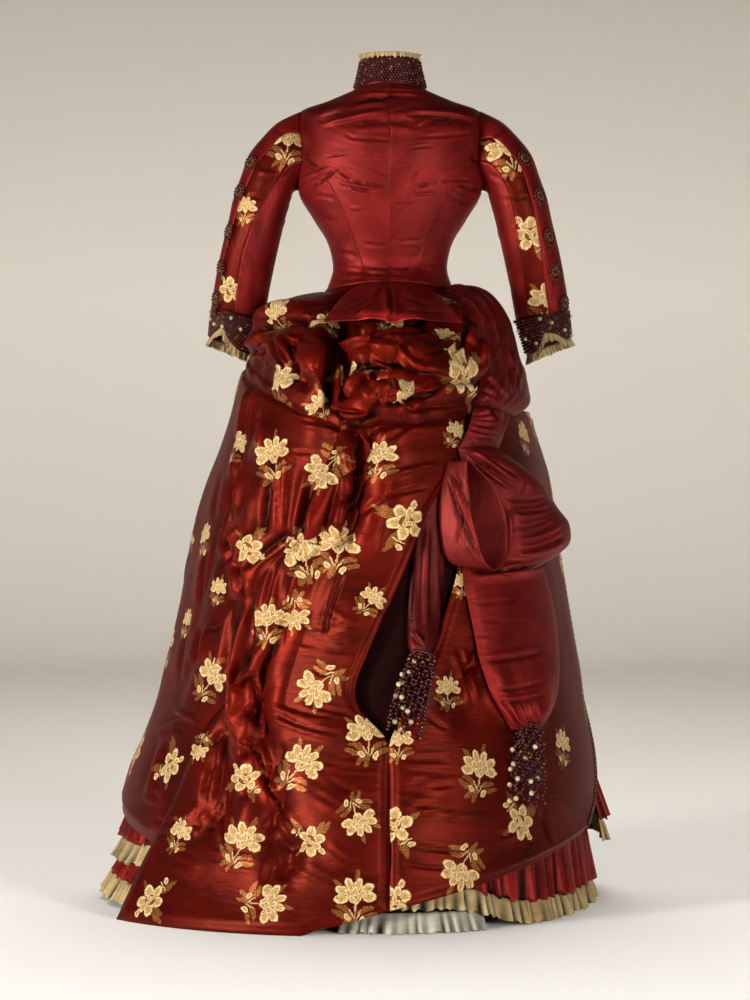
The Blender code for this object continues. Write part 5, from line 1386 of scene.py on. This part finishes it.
def bead_piece(name, centres, radius, finish, shape=SMALL_BEAD, turns=None):
    """Beads at the given centres, as one mesh on the dress. Each may be turned by a 3 by 3 matrix."""
    centres = np.asarray(centres).reshape(-1, 3)
    radius = np.broadcast_to(radius, len(centres))[:, None, None]
    points = np.broadcast_to(shape.points, (len(centres), *shape.points.shape))
    if turns is not None:
        points = points @ np.asarray(turns).transpose(0, 2, 1)
    points = centres[:, None] + points * radius
    firsts = [n * len(shape.points) for n in range(len(centres))]
    faces = [tuple(corner + first for corner in face) for first in firsts for face in shape.faces]
    mesh = bpy.data.meshes.new(name)
    mesh.from_pydata(points.reshape(-1, 3).tolist(), [], faces)
    mesh.materials.append(finish)
    mesh.shade_smooth()
    piece = bpy.data.objects.new(name, mesh)
    bpy.context.scene.collection.objects.link(piece)
    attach(piece, "root")
    print(name, len(centres), "beads")
    return piece

# %% [markdown]
# ## Collar and cuffs
# The bands are beaded in rows, each row half a bead along from the one above, with a gilt bead at each
# ninth place and large cream ones on the cuffs. The places are the band's own grid at a bead's spacing.

# %% Collar and cuffs
BAND_SPACING, BAND_BEAD = 4.8 * MM, 2.3 * MM
BAND_SIZES = (0.8, 1.15)
GILT_EACH, GILT_SHARE = 9, 0.9
CREAM_EACH, CREAM_LIFT, BAND_CREAM = 41, 2, 3.2 * MM
random = np.random.default_rng(5)
for node in ("collar_band", "cuff_band_left", "cuff_band_right"):
    grid, ring = grids[node]
    grid = finer(grid, BAND_SPACING, ring)
    normals = outward(grid, ring)
    places = (grid + normals * MM)[1:-1]
    rows, columns = np.indices(places.shape[:2])
    shift = np.where((rows % 2)[..., None] == 1, np.roll(places, -1, axis=1) - places, 0) / 2
    if not ring:
        shift[:, -1] = 0
    places = places + shift
    gilt = (columns + 3 * (rows % 4)) % GILT_EACH == 0
    cream = ((columns * 5 + rows * 7) % CREAM_EACH == 0) & (node != "collar_band")
    sizes = BAND_BEAD * random.uniform(*BAND_SIZES, places.shape[:2])
    plain = ~gilt & ~cream
    bead_piece(node + "_garnets", places[plain], sizes[plain], GARNET)
    bead_piece(node + "_gilt", places[gilt], sizes[gilt] * GILT_SHARE, GOLD)
    if cream.any():
        raised = places[cream] + normals[1:-1][cream] * CREAM_LIFT * MM
        bead_piece(node + "_creams", raised, BAND_CREAM, PEARL, LARGE_BEAD)

# %% [markdown]
# ## Medallions
# Down the outer arm run round medallions: a ring of garnet beads, one of gilt and a raised heart, with a
# short drop of three beads below. They lie flat on the strip, so each ring is laid out square to the cloth
# there. Radii, lifts and steps are in millimetres.

# %% Medallions on the sleeves
MEDALLIONS = {
    "sleeve_strip_right": [(524, 158), (539, 197), (549, 236), (555, 272), (563, 302)],
    "sleeve_strip_left": [(252, 163), (240, 192), (230, 231), (223, 268), (217, 300)],
}
RingOfBeads = namedtuple("RingOfBeads", "radius count lift start", defaults=[0.0])
OUTER_RING, GILT_RING, HEART = RingOfBeads(12, 14, 0), RingOfBeads(6.6, 9, 1.0, 0.3), RingOfBeads(3.4, 5, 1.6)
STRIP_CELL, MEDALLION_LIFT = 3 * MM, 2.2
DROP_BELOW, DROP_STEPS = 3 * MM, (0, 5, 9.5)
MEDALLION_BEAD, MEDALLION_GILT = 2.4 * MM, 1.9 * MM


def nearest_seen(grid, ring, x, y):
    """The row and column of the grid's point that shows at a pixel."""
    gap = pixel_gaps(photo_pixels(grid), facing(grid, ring) <= SIDE_FACES, x, y)
    return np.unravel_index(gap.argmin(), gap.shape)


def round_places(centre, normal, beads):
    """Places on a circle round a centre, square to a direction."""
    across = np.cross(normal, [0, 0, 1])
    across = across / np.linalg.norm(across)
    other = np.cross(normal, across)
    angles = beads.start + np.arange(beads.count) * 2 * math.pi / beads.count
    ways = np.cos(angles)[:, None] * across + np.sin(angles)[:, None] * other
    return list(centre + normal * beads.lift * MM + beads.radius * MM * ways)


for node, pixels in MEDALLIONS.items():
    grid, ring = grids[node]
    grid = finer(grid, STRIP_CELL, ring)
    normals = outward(grid, ring)
    garnets, gilts = [], []
    for x, y in pixels:
        at = nearest_seen(grid, ring, x, y)
        centre, normal = grid[at] + normals[at] * MEDALLION_LIFT * MM, normals[at]
        garnets += round_places(centre, normal, OUTER_RING) + round_places(centre, normal, HEART)
        gilts += round_places(centre, normal, GILT_RING)
        drop = centre - np.array([0, 0, OUTER_RING.radius * MM + DROP_BELOW])
        garnets += [drop - [0, 0, step * MM] for step in DROP_STEPS]
    bead_piece(node + "_medallion_garnets", garnets, MEDALLION_BEAD, GARNET)
    bead_piece(node + "_medallion_gilt", gilts, MEDALLION_GILT, GOLD)

# %% [markdown]
# ## Side trimming
# The right drape's front edge is trimmed all the way down. Two lines of beads follow the edge, lifted clear
# of the folds that the cloth has there.

# %% Trimming down the side of the drape
TRIM_CELL, TRIM_ENDS = 5.2 * MM, 4
LINE_COLUMN, LINE_LIFT, BESIDE_COLUMN, BESIDE_LIFT = -2, 4.2, -4, 4.6
TRIM_BEAD, TRIM_GILT = 2.5 * MM, 2.0 * MM
grid, ring = grids["drape_right"]
edge = finer(grid, TRIM_CELL)
normals = outward(edge)
ends = slice(TRIM_ENDS, -TRIM_ENDS)
line = edge[ends, LINE_COLUMN] + normals[ends, LINE_COLUMN] * LINE_LIFT * MM
beside = edge[ends, BESIDE_COLUMN] + normals[ends, BESIDE_COLUMN] * BESIDE_LIFT * MM
bead_piece("side_trim_garnets", np.concatenate([line, beside[::2]]), TRIM_BEAD, GARNET)
bead_piece("side_trim_gilt", beside[1::2], TRIM_GILT, GOLD)

# %% [markdown]
# ## Tassels
# Each sash end is drawn into a tassel of beaded strands. The wall of the frame gives its place, its
# direction and its length, and the strands hang in three rows of seven from a ring of beads. Cream beads
# lie on the strands nearest to the photograph's pixels, and the gilt ones come at regular places.

# %% Tassels
TASSELS = {
    "tassel_long": [(504, 747), (537, 747), (513, 764), (499, 771), (538, 777), (505, 787), (529, 781),
                    (521, 799), (510, 805), (526, 757), (516, 778), (533, 793)],
    "tassel_short": [(415, 661), (390, 668), (393, 677), (402, 683), (403, 698), (402, 706), (395, 720),
                     (411, 722), (409, 672), (387, 690), (396, 693), (409, 712)],
}
STRAND_COLUMNS, STRAND_ROWS = 7, 3
HALF_WIDTH, HALF_DEPTH = 17 * MM, 7 * MM
SPREAD = 1.55
BEAD_STEP, FIRST_BEAD = 6.4 * MM, 3 * MM
SWAY = 2.2 * MM
LONG_BEAD, SHORT_BEAD, TOP_BEAD, CREAM_BEAD, GILT_BEAD = 3.1, 2.3, 2.8, 4.1, 2.2
TOP_BEADS, TOP_DEPTH = 26, 1.3
SHORTEST, OPENS_AT = 0.84, 1.3
NEARER_COUNTS, CREAM_FORWARD = 60, 4.5 * MM
GILT_FROM, GILT_STEP, GILT_FORWARD = 5, 17, 3 * MM


def tassel_axes(points):
    """A tassel's top, its directions down, across and out, and its length."""
    middle = points.mean(axis=0)
    axes = np.linalg.svd(points - middle)[2]
    down = axes[0] * -np.sign(axes[0][2])
    across = axes[1] * np.sign(axes[1][0])
    drop = (points - middle) @ down
    return middle + down * drop.min(), down, across, np.cross(down, across), drop.max() - drop.min()


def strand_beads(row, column, top, down, across, out, length):
    """The beads of one strand: they spread towards the end and sway a little."""
    sideways = (column / (STRAND_COLUMNS - 1) * 2 - 1) * HALF_WIDTH
    deep = (row / (STRAND_ROWS - 1) * 2 - 1) * HALF_DEPTH
    strand = length * (SHORTEST + 0.16 * math.cos(column * 2.1 + row * 3.3))
    places, sizes = [], []
    for number in range(int(strand / BEAD_STEP)):
        t = number * BEAD_STEP / length
        wide = 1 + (SPREAD - 1) * math.sin(math.pi * min(t * OPENS_AT, 1) / 2)
        sway = SWAY * math.sin(number * 1.7 + column * 2.9 + row)
        at = top + down * (number * BEAD_STEP + FIRST_BEAD) + across * (sideways * wide + sway)
        places.append(at + out * (deep * wide + sway * 0.5))
        sizes.append((LONG_BEAD if number % 3 else SHORT_BEAD) * MM)
    return places, sizes


for node, pixels in TASSELS.items():
    top, down, across, out, length = tassel_axes(merged(node)[0])
    garnets, sizes = [], []
    for row in range(STRAND_ROWS):
        for column in range(STRAND_COLUMNS):
            places, radii = strand_beads(row, column, top, down, across, out, length)
            garnets += places
            sizes += radii
    ring_top = [top + across * HALF_WIDTH * math.cos(a) + out * HALF_DEPTH * TOP_DEPTH * math.sin(a)
                for a in np.linspace(0, 2 * math.pi, TOP_BEADS, endpoint=False)]
    sizes = np.array(sizes + [TOP_BEAD * MM] * TOP_BEADS)
    piece = bead_piece(node + "_garnets", garnets + ring_top, sizes, GARNET)
    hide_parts(node)
    garnets = np.array(garnets)
    where = photo_pixels(garnets)
    creams = []
    for x, y in pixels:
        near = np.hypot(where[:, 0] - x, where[:, 1] - y) + garnets[:, 1] * NEARER_COUNTS
        creams.append(garnets[near.argmin()] + [0, -CREAM_FORWARD, 0])
    bead_piece(node + "_creams", creams, CREAM_BEAD * MM, PEARL, LARGE_BEAD)
    gilts = garnets[GILT_FROM::GILT_STEP] + [0, -GILT_FORWARD, 0]
    bead_piece(node + "_gilt", gilts, GILT_BEAD * MM, GOLD)

# %% [markdown]
# ## The front closing
# A stand runs down the bodice front from the collar, with ten low dark glass buttons. It is a narrow strip
# with a soft crown, so it is rebuilt by looking at the frame's own stand from the front, level by level: how
# wide it is there, and how far forward its edge lies.

# %% Button stand
STAND_STEP, STAND_COLUMNS = 6 * MM, 7
WIDEST, FINE_STEP = 30 * MM, 0.0005
IN_FRONT = 1.0
STAND_CROWN = 1.2 * MM
points, triangles = merged("button_stand")
front = BVHTree.FromPolygons(points.tolist(), triangles.tolist())


def front_hit(x, z):
    """Where a look from the front meets the stand, or None beside it."""
    return front.ray_cast((x, IN_FRONT, z), (0, -1, 0))[0]


rows = []
for z in np.arange(points[:, 2].max() - MM, points[:, 2].min(), -STAND_STEP):
    half = [x for x in np.arange(0, WIDEST, FINE_STEP) if front_hit(x, z)][-1]
    edge = front_hit(half, z).y
    rows.append([(half * x, edge + STAND_CROWN * (1 - x * x), z) for x in np.linspace(1, -1, STAND_COLUMNS)])
grid = np.array(rows)
stand = cloth_mesh("button_stand_cloth", grid, grid, False, SATIN, CLOTH_WALL)
declare("button_stand", grid)

# %% [markdown]
# A button of the frame is a low dome, and its top lies just beside the middle of the stand. The highest
# point of each group of points there is a button's top, and the line through the tops says how each one
# leans.

# %% Buttons
TOP_X, TOP_TOLERANCE = 0.3 * MM, 0.03 * MM
BUTTONS_APART = 13 * MM
BUTTON_RADIUS, BUTTON_INWARD, BUTTON_FLATNESS = 6.8 * MM, 3.4, 0.55
tops = points[np.abs(points[:, 0] - TOP_X) < TOP_TOLERANCE]
tops = tops[np.argsort(-tops[:, 2])]
kept = [tops[0]]
for top in tops[1:]:
    if np.linalg.norm(top - kept[-1]) > BUTTONS_APART:
        kept.append(top)
    elif top[1] > kept[-1][1]:
        kept[-1] = top
tops = np.array(kept)
ways = np.gradient(tops, axis=0)
leans = [np.array(Euler((-angle, 0, 0)).to_matrix()) for angle in np.arctan2(-ways[:, 1], -ways[:, 2])]
turns = [lean @ np.diag((1, BUTTON_FLATNESS, 1)) for lean in leans]
outs = np.array([lean @ [0, 1, 0] for lean in leans])
bead_piece("front_buttons", tops - outs * BUTTON_INWARD * MM, BUTTON_RADIUS, GARNET, LARGE_BEAD, turns)
